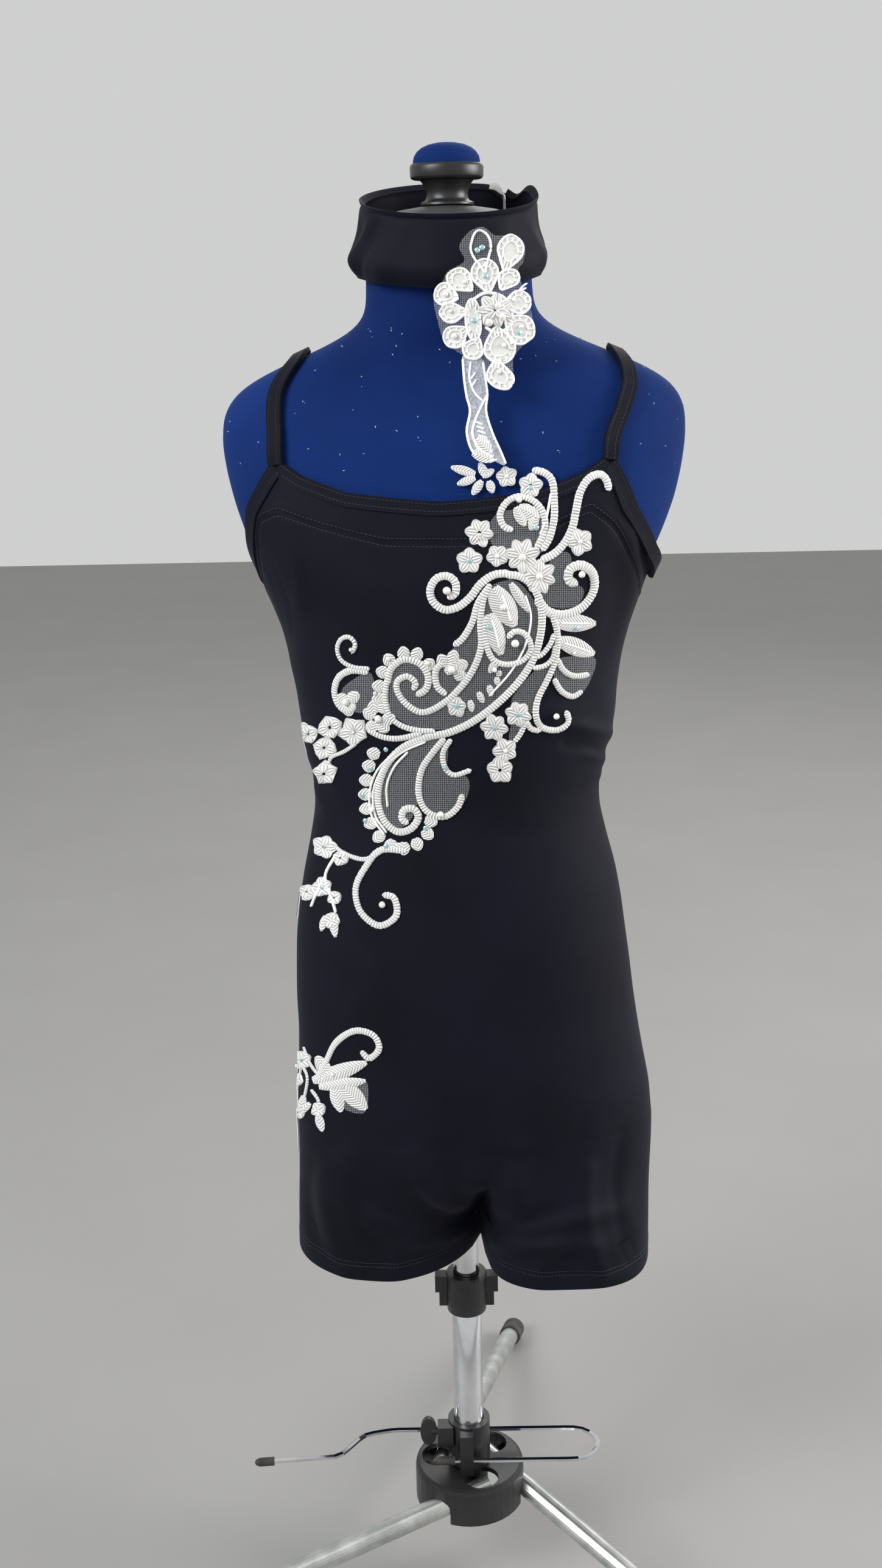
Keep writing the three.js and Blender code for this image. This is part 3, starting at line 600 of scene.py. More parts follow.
def yoke_cos(deg):
    """The cosine of the yoke seam's slope, to measure square to it."""
    d = np.linspace(-180, 0, 361)
    z = np.interp(d, YOKE_SEAM[:, 0], YOKE_SEAM[:, 1])
    p = body_point(d, z)
    run = np.hypot(np.gradient(p[:, 0]), np.gradient(p[:, 1]))
    return np.interp(deg, d, run / np.hypot(run, np.gradient(z)))


def half_body(name, start, end, side, nodes):
    """Front or back of the body, from the hem to the top edge, seams pressed in."""
    u = np.linspace(0, 1, 150)
    v = np.linspace(0, 1, 230)
    deg = start + (end - start) * u
    x_hem = body_point(deg, np.full_like(deg, 300.0))[:, 0]
    lo, hi = hem_z(x_hem), top_z(deg) - 1.0
    D, V = np.meshgrid(deg, v, indexing="ij")
    Z = lo[:, None] + (hi - lo)[:, None] * V
    lift = relief(body_point(D, Z), D, Z, side)
    outer = lifted(body_point, D, Z, CLOTH + lift)
    inner = lifted(body_point, D, Z, CLOTH - KNIT_WALL + lift)
    o = shell(name, outer, inner, KNIT, uv=np.stack([D * MM_PER_DEG, Z], -1))
    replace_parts(o, *nodes)
    return o


front = half_body("unitard_front", -180, 0, "front",
                  ["front_body", "yoke_band", "side_front_left", "side_front_right", "crotch_gusset"])
back = half_body("unitard_back", 0, 180, "back", ["back_body"])

# The turned-up hems close each leg below the crotch.
for side, leg in LEGS.items():
    def leg_point(deg, z, leg=leg):
        return oval_point(leg, deg, z)

    D, V = np.meshgrid(np.linspace(0, 360, 150, endpoint=False), np.linspace(0, 1, 14), indexing="ij")
    base = leg_point(D, 0 * V)
    near = bell(base[..., 0] - CENTRE_X, 12)
    start = hem_z(base[..., 0]) + 1.2
    Z = start + (CROTCH_Z + 6 - start) * V
    outer, inner = lifted(leg_point, D, Z, 1.2 + 0.2 * near), lifted(leg_point, D, Z, 0.2)
    o = shell(f"leg_facing_{side}", outer, inner, KNIT, ring=True, uv=np.stack([D, Z], -1))
    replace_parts(o, f"leg_panel_{side}", f"leg_hem_{side}")


# ---- bindings, straps and stitching ----
def edge_path(deg, z, surface, off, step):
    """Points and normals on the cloth along degrees and heights."""
    pts = smooth_path(np.stack([deg, z], 1), step)
    d, h = pts[:, 0], pts[:, 1]
    return lifted(surface, d, h, off), normals(surface, d, h)


def strip(name, rows, width, thick, nodes, surface=body_point, off=CLOTH - 1.4, step=3.0, loose=None):
    """A folded strip along rows of degrees and height, with two lines of stitches."""
    rows = np.array(rows, float)
    p, n = edge_path(rows[:, 0], rows[:, 1], surface, off, step)
    if loose is not None:
        p = p + n * loose(p)[:, None]
    bag = Bag()
    ribbon(bag, p, n, width, thick, FLAT_BAND)
    o = bag.build(name, KNIT)
    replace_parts(o, *nodes)
    length = float(np.linalg.norm(np.diff(p, axis=0), axis=1).sum()) / 1000
    lines = Bag()
    t = np.gradient(p, axis=0)
    t /= np.linalg.norm(t, axis=1, keepdims=True)
    side = np.cross(t, n)
    for k in (-0.5, 0.32):
        stitches(lines, p + side * (width / 2 * k * 1.25) + n * (thick * 0.93), n)
    lines.build(name + "_stitching", THREAD)


def stitches(bag, p, n, pitch=2.6, size=0.32):
    """Short raised stitches along a line."""
    length = np.concatenate([[0], np.cumsum(np.linalg.norm(np.diff(p, axis=0), axis=1))])
    for s in np.arange(pitch / 2, length[-1], pitch):
        a = np.array([np.interp(s - pitch * 0.34, length, p[:, k]) for k in range(3)])
        b = np.array([np.interp(s + pitch * 0.34, length, p[:, k]) for k in range(3)])
        m = np.array([np.interp(s, length, n[:, k]) for k in range(3)])
        w = np.cross(b - a, m)
        w = w / max(np.linalg.norm(w), 1e-9) * size
        up = m / np.linalg.norm(m) * size
        v = [a + w * 0.5, a + up * 0.7, a - w * 0.5, b + w * 0.5, b + up * 0.7, b - w * 0.5]
        bag.add(v, [(0, 1, 4, 3), (1, 2, 5, 4), (2, 0, 3, 5), (0, 2, 1), (3, 4, 5)], [[0, 0]] * 6)


def along_top(start, end, drop=4.5):
    """The binding's middle line: the top edge moved down, square to itself."""
    deg = np.linspace(start, end, 40)
    z = top_z(deg)
    p = body_point(deg, z)
    run = np.hypot(np.gradient(p[:, 0]), np.gradient(p[:, 1]))
    rise = np.gradient(z)
    size = np.hypot(run, rise)
    r = run / np.maximum(np.abs(np.gradient(deg)), 1e-6)
    way = np.sign(end - start)
    return np.stack([deg + way * drop * rise / size / np.maximum(r, 0.4), z - drop * run / size], 1)


def bulge(p):
    """The right armhole stands off the form a little below its middle."""
    return 5.0 * bell(p[:, 2] - 800, 16) * (p[:, 0] > 90)


strip("neck_binding", along_top(-131.5, -56.5), 9, 2.4, ["neck_binding_front"])
strip("back_neck_binding", along_top(56.5, 123.5), 9, 2.4, ["neck_binding_back"])
strip("armhole_binding_right", np.concatenate([along_top(-53, -1)[:-2], along_top(1, 53)[2:]]), 10, 2.6,
      ["armhole_binding_right_front", "armhole_binding_right_back"], loose=bulge)
left_run = np.concatenate([along_top(127, 179)[:-2], [[360 - 178, 788.7]],
                           along_top(-179, -135)[2:] + [360, 0]])


def body_round(deg, z):
    """The body's surface, for a strip that goes on past 180 degrees."""
    return body_point(np.where(deg > 180, deg - 360, deg), z)


strip("armhole_binding_left", left_run, 10, 2.6, ["armhole_binding_left_front", "armhole_binding_left_back"],
      surface=body_round)

STRAP_LEFT = [(-133, 866), (-133, 878), (-134.5, 890), (-138.5, 903), (-147, 916), (-160, 925), (-180, 929),
              (-201, 925), (-218, 910), (-226, 887), (-232, 862), (-235, 840)]
STRAP_RIGHT = [(-55, 866), (-54.5, 878), (-51, 890), (-45, 903), (-34, 916), (-18, 925), (0, 928),
               (21, 924), (38, 910), (46, 887), (52, 862), (55, 840)]


def strap_lift(p):
    """How far a strap stands off the shoulder."""
    return 0.8 * bell(p[:, 2] - 902, 14) + 1.2 * bell(p[:, 2] - 876, 9)


strip("strap_cloth_left", STRAP_LEFT, 10, 3.0, ["strap_left"], form_point, 1.4, 2.5, strap_lift)
strip("strap_cloth_right", STRAP_RIGHT, 10, 3.0, ["strap_right"], form_point, 1.4, 2.5, strap_lift)

seams = Bag()


def seam_line(deg, z, side, pitch):
    """Stitches on the body's cloth along degrees and heights."""
    lift = CLOTH + 0.12 + relief(body_point(deg, z), deg, z, side)
    stitches(seams, lifted(body_point, deg, z, lift), normals(body_point, deg, z), pitch, 0.3)


for offset in (-2.2, 2.6):
    d = np.linspace(-178, -2, 90)
    seam_line(d, np.interp(d, YOKE_SEAM[:, 0], YOKE_SEAM[:, 1]) + offset, "front", 2.8)
for side, start, end in (("front", -179, -1), ("back", 1, 179)):
    d = np.linspace(start, end, 140)
    x = body_point(d, np.full_like(d, 300.0))[:, 0]
    keep = np.abs(x - CENTRE_X) > 10
    for rise in (11.6, 14.6):
        z = hem_z(x) + rise
        for part in (keep & (x < CENTRE_X), keep & (x > CENTRE_X)):
            seam_line(d[part], z[part], side, 2.4)
seams.build("seam_stitching", THREAD)

# ---- collar ----
COLLAR_GAP_AT, COLLAR_GAP = 48.0, 1.6
CU, CV = np.meshgrid(np.linspace(0, 1, 200), np.linspace(0, 1, 44), indexing="ij")
cdeg = COLLAR_GAP_AT + COLLAR_GAP + (360 - 2 * COLLAR_GAP) * CU
# Folds round the collar: degrees, height share, slant, half width, depth.
FOLDS = [
    (198, 0.35, 0.9, 6, 2.6), (212, 0.6, 0.7, 5, -2.4), (228, 0.3, 0.6, 8, 2.0), (185, 0.7, -0.6, 7, 1.8),
    (300, 0.3, 0.4, 8, 1.0), (335, 0.5, -0.8, 6, 1.5), (352, 0.6, -1.0, 6, -1.4), (120, 0.5, 0.5, 9, 1.2),
    (90, 0.4, -0.5, 10, 1.0), (262, 0.12, 0.1, 12, 0.8),
]


def collar_point(deg, v):
    """The collar's outer face: round the neck in degrees, and from its lower edge up from 0 to 1."""
    s, c = np.sin(np.radians(deg)), np.cos(np.radians(deg))
    z0, z1 = 978 + 7 * s, 1024 + 11 * s
    z0 = z0 - 2.5 * bell(np.mod(deg, 360) - 290, 30)
    tip = bell(np.mod(deg - 48, 360) - 350, 9) + bell(np.mod(deg - 48, 360), 8)
    z1 = z1 + 3.5 * bell(np.mod(deg, 360) - 20, 16) - 5 * tip
    flare = 5.0 * bell(v - 0.27, 0.24) - 2.2 * v - 1.2 * bell(v, 0.07)
    for at, mid, slant, half, depth in FOLDS:
        off = np.mod(deg - at - slant * 30 * (v - mid) + 180, 360) - 180
        flare = flare + depth * bell(off, half) * np.sin(np.pi * np.clip(v + 0.08, 0, 1)) ** 0.6
    flare = flare - 0.9 * bell(v - 0.93, 0.02) + 1.0 * np.clip((v - 0.93) / 0.07, 0, 1)
    return np.stack([1 + (57.5 + flare) * c, -2.5 + (55.5 + flare) * s, z0 + (z1 - z0) * v], -1)


c_out = collar_point(cdeg, CV)
radial = np.stack([np.cos(np.radians(cdeg)), np.sin(np.radians(cdeg)), 0 * cdeg], -1)
thick = 2.4 * np.sqrt(np.clip(1 - (2 * CV - 1) ** 8, 0.05, 1))
c_in = c_out - radial * thick[..., None]
collar = shell("neck_collar", c_out, c_in, KNIT, uv=np.stack([cdeg, CV * 48], -1))
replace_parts(collar, "collar")

tape = Bag()
tape_at = smooth_path([(37, 37, 1010), (36, 38, 1022), (33, 40, 1031), (28, 42, 1033)], 2)
ribbon(tape, tape_at, np.tile([-0.6, -0.8, 0.1], (len(tape_at), 1)), 5, 0.4)
tape.build("collar_tape", ORGANZA, slot="lace")


# ---- lace ----
def hang_y(x, z):
    """Depth of the lace that hangs from collar to neckline."""
    y = np.interp(z, [862, 880, 892, 904, 918, 930, 946, 962, 978, 994, 1010],
                  [-86, -82.5, -77, -74, -72, -70, -69, -67.5, -65.5, -64.5, -62])
    y = y + np.where(z > 925, 9 * (np.clip(x - 8, 0, 60) / 42) ** 2, 0)
    return y + 4 * (np.clip(8 - x, 0, 30) / 25) ** 2


def on_hang(points):
    """Points and normals on the hanging lace under pixels of the view."""
    px, py = np.array(points, float).T
    y = np.full(len(px), -68.0)
    for _ in range(12):
        q = ray_at_y(px, py, y)
        y = hang_y(q[:, 0], q[:, 2])
    n = np.tile([0.0, -1.0, 0.12], (len(px), 1))
    n[:, 0] = np.where(q[:, 2] > 925, (q[:, 0] - 10) / 90, 0)
    return q, n / np.linalg.norm(n, axis=1, keepdims=True)


def on_body(points):
    """Points and normals on the front's cloth under pixels of the view."""
    d, z = on_cloth(points)
    lift = CLOTH + 0.35 + relief(body_point(d, z), d, z, "front")
    return lifted(body_point, d, z, lift), normals(body_point, d, z)


# The lace's places were read on two enlarged views: each one's corner in the whole view, and its zoom.
CHEST_AT, CHEST_ZOOM = (460, 700), 2.24
NECK_AT, NECK_ZOOM = (560, 270), 2.958
FLOWER_MIDDLE, FLOWER_HEART = (735, 700), (745, 710)  # in the view of the neck
MM_PER_PX = 0.38  # about, on the cloth


def chest(points):
    """Places in the view of the chest, as places in the whole view."""
    return [(CHEST_AT[0] + x / CHEST_ZOOM, CHEST_AT[1] + y / CHEST_ZOOM) for x, y in points]


def neck(points):
    """Places in the view of the neck, as places in the whole view."""
    return [(NECK_AT[0] + x / NECK_ZOOM, NECK_AT[1] + y / NECK_ZOOM) for x, y in points]


class Lace:
    """Cords, leaves, nets and beads in pixels of the view, laid on a surface."""

    def __init__(self, place):
        self.place = place
        self.cords, self.net, self.pearls, self.sequins, self.veil, self.sheer = (Bag() for _ in range(6))

    def band(self, points, width_px, height=1.3):
        """A satin-stitched cord along points."""
        path = smooth_path(points, 2.2)
        p, n = self.place(path)
        k = np.ones(3) / 3
        for _ in range(2):
            inner = np.stack([np.convolve(p[:, c], k, "valid") for c in range(3)], 1)
            p = np.concatenate([p[:1], inner, p[-1:]])
        ribbon(self.cords, p, n, width_px * MM_PER_PX, height, taper=0.5, stitched=width_px > 6,
               wobble=lambda s: 1 + 0.05 * np.sin(s * 2.3) + 0.04 * np.sin(s * 5.1))

    def petal(self, base, tip, width, height=1.2, cup=0.25, radial=False, sharp=0.75):
        """A pointed or round leaf from base to tip, in pixels, domed and stitched outwards."""
        (bx, by), (tx, ty) = base, tip
        ux, uy = tx - bx, ty - by
        size = math.hypot(ux, uy)
        nx, ny = -uy / size, ux / size
        m, k = 9, 7
        pts, hs, uvs = [], [], []
        for i in range(m):
            t = i / (m - 1)
            w = width / 2 * (math.sin(math.pi * min(1, 0.12 + 0.83 * t)) ** sharp)
            for j in range(k):
                s = -1 + 2 * j / (k - 1)
                pts.append((bx + ux * t + nx * w * s, by + uy * t + ny * w * s))
                edge = (1 - abs(s) ** 2.4) * math.sin(math.pi * min(1, 0.1 + 0.85 * t)) ** 0.4
                hs.append(height * (0.35 + 0.65 * edge) - cup * height * math.exp(-((s / 0.16) ** 2)) * edge)
                if radial:
                    uvs.append((s * width * 0.5 * MM_PER_PX, t * size * MM_PER_PX))
                else:
                    uvs.append(((t * size + 0.8 * abs(s) * w) * MM_PER_PX, s * w * MM_PER_PX))
        p, n = self.place(pts)
        v = np.concatenate([p + n * np.array(hs)[:, None], p - n * 0.05])
        faces = grid_faces(m, k) + grid_faces(m, k, base=m * k, flip=True)
        rim = list(range(k)) + [i * k + k - 1 for i in range(1, m)]
        rim += [(m - 1) * k + j for j in range(k - 2, -1, -1)] + [i * k for i in range(m - 2, 0, -1)]
        for a, b in zip(rim, rim[1:] + rim[:1]):
            faces.append((a, m * k + a, m * k + b, b))
        self.cords.add(v, faces, uvs + uvs)

    def flower(self, x, y, r, petals=5, turn=0.3, height=1.5, sharp=0.75):
        """Petals of uneven length round a place; turn is where the first one points."""
        for i in range(petals):
            a = turn + 2 * math.pi * i / petals
            c, s, r_i = math.cos(a), math.sin(a), r * random.uniform(0.92, 1.06)
            self.petal((x + 0.12 * r * c, y + 0.12 * r * s), (x + r_i * c, y + r_i * s),
                       0.98 * r * 5 / petals, height, radial=True, sharp=sharp)

    def corded(self, x, y, rx, ry, tilt=0.0, fill=0.7, cord=4.5, high=1.6, middle=None):
        """A petal: a low stitched fill inside a raised cord, narrow towards the flower's middle."""
        c, s = math.cos(tilt), math.sin(tilt)
        tx, ty, narrow = 0.0, 1.0, 0.0
        if middle:
            far = math.hypot(middle[0] - x, middle[1] - y)
            tx, ty, narrow = (middle[0] - x) / far, (middle[1] - y) / far, 0.6

        def at(a, r):
            u, w = r * rx * math.cos(a), r * ry * math.sin(a)
            u, w = u * c - w * s, u * s + w * c
            along, across = u * tx + w * ty, w * tx - u * ty
            k = along / (0.5 * (rx + ry))
            across *= 1 - narrow * max(0, k) ** 1.5
            waved = 0.06 * math.cos(3.2 * across) if narrow and k < -0.4 else 0
            along *= 1 + 0.5 * narrow * max(0, k) + waved
            return x + along * tx - across * ty, y + along * ty + across * tx

        self.band([at(a, 1) for a in np.linspace(0, 2 * math.pi, 15)], cord, high)
        if fill:
            self.band([at(a, 0.6) for a in np.linspace(0.4, 2 * math.pi + 0.1, 13)], 0.62 * cord, 0.85 * high)
            ribs = max(7, int((rx + ry) / 3.6))
            for i in range(ribs):
                a = 2 * math.pi * i / ribs
                self.band([at(a, random.uniform(0.6, 0.7)), at(a, 0.92)], 2.2, fill + 0.9)
            self.filling(at, rx, ry, fill)

    def filling(self, at, rx, ry, fill, rings=4, spokes=20):
        """The organza inside a corded petal, whose outline at gives."""
        pts, hs, uvs = [], [], []
        for i in range(rings):
            for j in range(spokes):
                a, r = 2 * math.pi * j / spokes, 0.02 + 0.95 * i / (rings - 1)
                pts.append(at(a, r))
                hs.append(0.6 * fill + 0.3 * r)
                uvs.append((a * 0.5 * (rx + ry) * MM_PER_PX, r * rx * MM_PER_PX))
        p, n = self.place(pts)
        v = np.concatenate([p + n * np.array(hs)[:, None], p - n * 0.05])
        faces = []
        under, rim = rings * spokes, (rings - 1) * spokes
        for i in range(0, rim, spokes):
            for j in range(spokes):
                k = (j + 1) % spokes
                q = (i + j, i + spokes + j, i + spokes + k, i + k)
                faces += [tuple(reversed(q)), tuple(under + w for w in q)]
        for j in range(spokes):
            k = (j + 1) % spokes
            faces.append((rim + j, rim + k, under + rim + k, under + rim + j))
        faces += [tuple(range(spokes)), tuple(under + j for j in reversed(range(spokes)))]
        self.veil.add(v, outward(v, faces), uvs + uvs)

    def dome(self, bag, x, y, r, height, sides=16, rings=6, lift=1.0):
        """A bead or sequin of radius r in mm."""
        p, n = self.place([(x, y)])
        c, n = p[0] + n[0] * lift, n[0]
        u = np.cross(n, [0, 0, 1.0])
        u /= np.linalg.norm(u)
        w = np.cross(n, u)
        v, uv = [], []
        for i in range(rings):
            a = math.pi / 2 * i / (rings - 1)
            for j in range(sides):
                b = 2 * math.pi * j / sides
                rr = r * math.cos(a) * 0.999 + 1e-3
                v.append(c + (u * math.cos(b) + w * math.sin(b)) * rr + n * height * math.sin(a))
                uv.append((rr * math.cos(b), rr * math.sin(b)))
        faces = grid_faces(rings, sides)
        for i in range(rings - 1):
            faces.append((i * sides + sides - 1, (i + 1) * sides + sides - 1, (i + 1) * sides, i * sides))
        faces.append(tuple(range(sides)))
        faces.append(tuple(reversed(range((rings - 1) * sides, rings * sides))))
        bag.add(v, outward(np.array(v), faces), uv)

    def pearl(self, x, y, r_px=6.5):
        self.dome(self.pearls, x, y, r_px * MM_PER_PX, r_px * MM_PER_PX * 1.2)

    def sequin(self, x, y, r_px=4.2):
        self.dome(self.sequins, x, y, r_px * MM_PER_PX, 0.5, rings=3, lift=1.5)

    def netting(self, outline, step=7.0, bag=None):
        """Net or sheer cloth inside an outline."""
        path = smooth_path(outline, 6, closed=True)
        x0, y0 = path.min(0)
        x1, y1 = path.max(0)
        inside = [(x, y) for x in np.arange(x0 + step, x1, step) for y in np.arange(y0 + step, y1, step)]
        pts = [Vector(q) for q in path.tolist()] + [Vector(q) for q in inside]
        ring = list(range(len(path)))
        vs, _, fs, *_ = delaunay_2d_cdt(pts, [], [ring], 1, 1e-4)
        flat = np.array([tuple(q) for q in vs])
        p, n = self.place(flat)
        m = len(flat)
        v = np.concatenate([p + n * 0.15, p - n * 0.05])
        faces = [tuple(f) for f in fs] + [tuple(m + i for i in reversed(f)) for f in fs]
        count = {}
        for f in fs:
            for a, b in zip(f, list(f[1:]) + [f[0]]):
                count[(a, b)] = count.get((a, b), 0) + 1
        faces += [(b, a, m + a, m + b) for (a, b) in count if (b, a) not in count]
        mm = flat * MM_PER_PX
        (bag or self.net).add(v, faces, np.concatenate([mm, mm]))

    def build(self, name, nodes):
        """One piece for the cords, which stands for the nodes, and one for each of the rest."""
        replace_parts(self.cords.build(name, LACE, slot="lace"), *nodes)
        rest = {"net": (self.net, NET), "pearls": (self.pearls, PEARL), "sequins": (self.sequins, SEQUIN),
                "organza": (self.veil, ORGANZA), "sheer": (self.sheer, SHEER)}
        for word, (bag, mat) in rest.items():
            if bag.n:
                bag.build(f"{name}_{word}", mat, slot="lace")


body_lace = Lace(on_body)
# Cords: width in the whole view, then places along the line.
CHEST_BANDS = [
    (12, [(930, 165), (975, 175), (1005, 205), (1012, 270), (1012, 340), (995, 410), (965, 460)]),
    (11, [(860, 385), (825, 370), (812, 325), (840, 280), (890, 262), (945, 285), (975, 330), (975, 390),
          (945, 455)]),
    (13, [(1215, 240), (1205, 200), (1180, 180), (1140, 195), (1110, 240), (1095, 300), (1080, 370),
          (1050, 430), (1010, 470), (960, 495)]),
    (13, [(850, 542), (790, 548), (740, 580), (700, 630), (655, 665), (605, 675), (562, 645), (552, 600),
          (575, 562), (615, 553), (645, 575), (645, 615), (615, 632)]),
    (16, [(945, 630), (980, 675), (1030, 692), (1085, 680), (1130, 645), (1158, 590), (1150, 535),
          (1110, 510), (1070, 525), (1064, 562), (1095, 580)]),
    (13, [(830, 548), (885, 553), (930, 585), (957, 640), (966, 710), (952, 800), (920, 880), (860, 960),
          (780, 1035), (700, 1090), (620, 1125), (540, 1142), (460, 1175), (400, 1230), (367, 1300),
          (360, 1380), (382, 1450), (430, 1492), (480, 1482), (508, 1440), (490, 1408), (455, 1412),
          (448, 1445), (472, 1462)]),
    (11, [(775, 580), (748, 640), (738, 720), (742, 800), (722, 870), (680, 940), (610, 1010), (530, 1050),
          (470, 1025), (432, 975), (432, 935), (468, 918), (498, 942), (488, 968)]),
    (11, [(770, 590), (730, 650), (708, 720), (672, 780), (638, 806)]),
    (10, [(757, 700), (755, 780), (782, 852), (832, 874), (892, 860), (925, 815), (905, 765), (865, 754),
          (838, 778)]),
    (11, [(1000, 680), (1022, 760), (1016, 850), (985, 930), (950, 1000), (940, 1060), (965, 1105),
          (1020, 1112), (1055, 1078), (1048, 1042)]),
    (9, [(930, 888), (975, 878), (1005, 848), (1015, 800)]),
    (9, [(925, 850), (960, 840), (995, 800), (1010, 760)]),
    (10, [(1020, 850), (1042, 892), (1080, 916), (1138, 912)]),
    (10, [(1008, 925), (1036, 972), (1076, 992), (1112, 972)]),
    (11, [(612, 985), (578, 955), (572, 900), (596, 866)]),
    (10, [(392, 930), (386, 1000), (402, 1060), (440, 1096), (500, 1116), (570, 1120)]),
    (12, [(392, 950), (408, 890), (455, 856), (515, 872), (545, 920), (536, 965), (500, 988)]),
    (8, [(330, 890), (270, 884), (225, 858), (210, 815), (225, 780), (255, 774), (276, 800), (264, 832)]),
    (12, [(325, 902), (262, 896), (217, 920), (200, 970), (213, 1020), (248, 1046), (278, 1022)]),
    (10, [(325, 1118), (380, 1142), (440, 1146), (520, 1128)]),
    (11, [(606, 1145), (560, 1200), (520, 1262), (508, 1340), (525, 1400), (562, 1432), (612, 1436),
          (655, 1400), (672, 1352)]),
    (9, [(630, 1148), (600, 1196), (605, 1250), (640, 1281), (705, 1262)]),
    (4, [(535, 1158), (450, 1196), (376, 1260), (343, 1340), (350, 1430), (392, 1496)]),
    (4, [(530, 1150), (440, 1188), (362, 1256), (330, 1340), (338, 1434), (384, 1504)]),
    (10, [(905, 1080), (925, 1110), (960, 1118)]),
    (9, [(905, 1085), (885, 1130), (862, 1160)]),
    (7, [(280, 1165), (235, 1195), (190, 1215), (180, 1245)]),
    (4, [(1000, 250), (985, 330), (960, 400)]),
    (3, [(905, 620), (925, 700), (905, 800), (850, 900), (770, 990)]),
    (4, [(470, 1195), (420, 1250), (392, 1320), (395, 1400)]),
    (5, [(818, 620), (835, 665), (850, 715)]),
    (4, [(780, 710), (795, 760), (808, 815)]),
    (4, [(1035, 722), (1090, 722), (1140, 722)]),
    (4, [(1045, 795), (1100, 812), (1145, 830)]),
]
for width, line in CHEST_BANDS:
    body_lace.band(chest(line), width)
# Flowers: place, radius, petals.
CHEST_FLOWERS = [
    (835, 190, 40, 5), (925, 222, 46, 5), (735, 395, 54, 6), (697, 497, 50, 5), (800, 480, 42, 5),
    (893, 478, 66, 7), (955, 552, 64, 7), (1105, 425, 50, 5), (790, 1106, 52, 6), (875, 1056, 48, 6),
    (830, 1190, 46, 5), (272, 1122, 48, 5), (185, 1105, 40, 4), (165, 1180, 38, 4), (650, 1030, 38, 5),
    (810, 1262, 52, 5), (172, 1272, 40, 5), (108, 1130, 32, 4),
]
for x, y, r, petals in CHEST_FLOWERS:
    grow, sharp = (1.15, 1.5) if x < 300 else (1, 0.75)  # the sprig at the left is the pointed one
    turn = 0.3 + (x * 7 % 11) / 9
    body_lace.flower(*chest([(x, y)])[0], r / CHEST_ZOOM * grow, petals, turn, sharp=sharp)
# Leaves: base, tip, width.
CHEST_LEAVES = [
    ((720, 180), (628, 155), 34), ((720, 195), (652, 218), 32), ((745, 205), (708, 256), 34),
    ((770, 205), (785, 250), 34), ((760, 190), (735, 140), 34), ((745, 190), (790, 165), 30),
    ((785, 595), (865, 735), 92), ((770, 690), (815, 838), 74), ((850, 578), (918, 682), 38),
    ((1012, 720), (1162, 722), 66), ((1025, 785), (1158, 835), 66), ((800, 860), (770, 905), 30),
    ((800, 900), (815, 915), 24), ((800, 920), (800, 950), 24), ((770, 950), (780, 990), 26),
    ((730, 975), (750, 1015), 26), ((700, 1005), (708, 1048), 26), ((880, 300), (960, 340), 60),
    ((870, 300), (905, 370), 44), ((945, 330), (925, 385), 40), ((610, 905), (660, 862), 44),
]
for base, tip, width in CHEST_LEAVES:
    a, b = chest([base, tip])
    body_lace.petal(a, b, width / CHEST_ZOOM)
# Scalloped rims: place and the way each lobe points, in degrees.
CHEST_SCALLOPS = [
    (385, 905, 200), (372, 955, 190), (372, 1000, 180), (405, 865, 235), (455, 842, 260), (500, 845, 290),
    (540, 880, 320), (352, 1205, 200), (335, 1250, 195), (325, 1300, 185), (322, 1352, 180),
    (326, 1405, 172), (342, 1458, 160), (370, 1505, 140), (410, 1535, 115), (455, 1545, 92),
    (500, 1530, 68), (535, 1495, 40), (545, 1452, 15), (335, 1060, 215), (345, 1040, 260), (375, 1038, 300),
    (390, 1075, 350), (372, 1098, 40), (340, 1095, 110), (602, 868, 240), (635, 855, 285), (660, 880, 340),
    (655, 908, 30), (235, 1005, 200), (262, 1000, 320), (250, 1030, 80),
]
for x, y, way in CHEST_SCALLOPS:
    a = math.radians(way)
    p, q = chest([(x - 14 * math.cos(a), y - 14 * math.sin(a)), (x + 34 * math.cos(a), y + 34 * math.sin(a))])
    body_lace.petal(p, q, 21, 1.1)
# Pearls: place, radius.
CHEST_PEARLS = [
    (613, 605, 15), (1110, 542, 13), (893, 484, 14), (955, 552, 13), (865, 796, 15), (630, 892, 14),
    (835, 190, 8), (1105, 425, 9), (735, 402, 7), (800, 480, 9), (820, 665, 11), (245, 1010, 15),
    (362, 1072, 15), (1010, 1060, 12), (590, 1428, 13), (400, 852, 8), (542, 868, 9), (350, 978, 8),
    (262, 818, 8), (882, 275, 11), (1080, 830, 7), (790, 893, 9), (830, 1190, 8), (272, 1122, 7),
]
for x, y, r in CHEST_PEARLS:
    body_lace.pearl(*chest([(x, y)])[0], r / CHEST_ZOOM)
CHEST_SEQUINS = [
    (697, 497), (770, 738), (945, 375), (790, 1106), (875, 1056), (390, 1185), (535, 1478), (305, 1355),
    (610, 1252), (390, 1545), (650, 1025), (1090, 740), (925, 230), (315, 1450), (335, 1255),
]
for x, y in chest(CHEST_SEQUINS):
    body_lace.sequin(x, y)
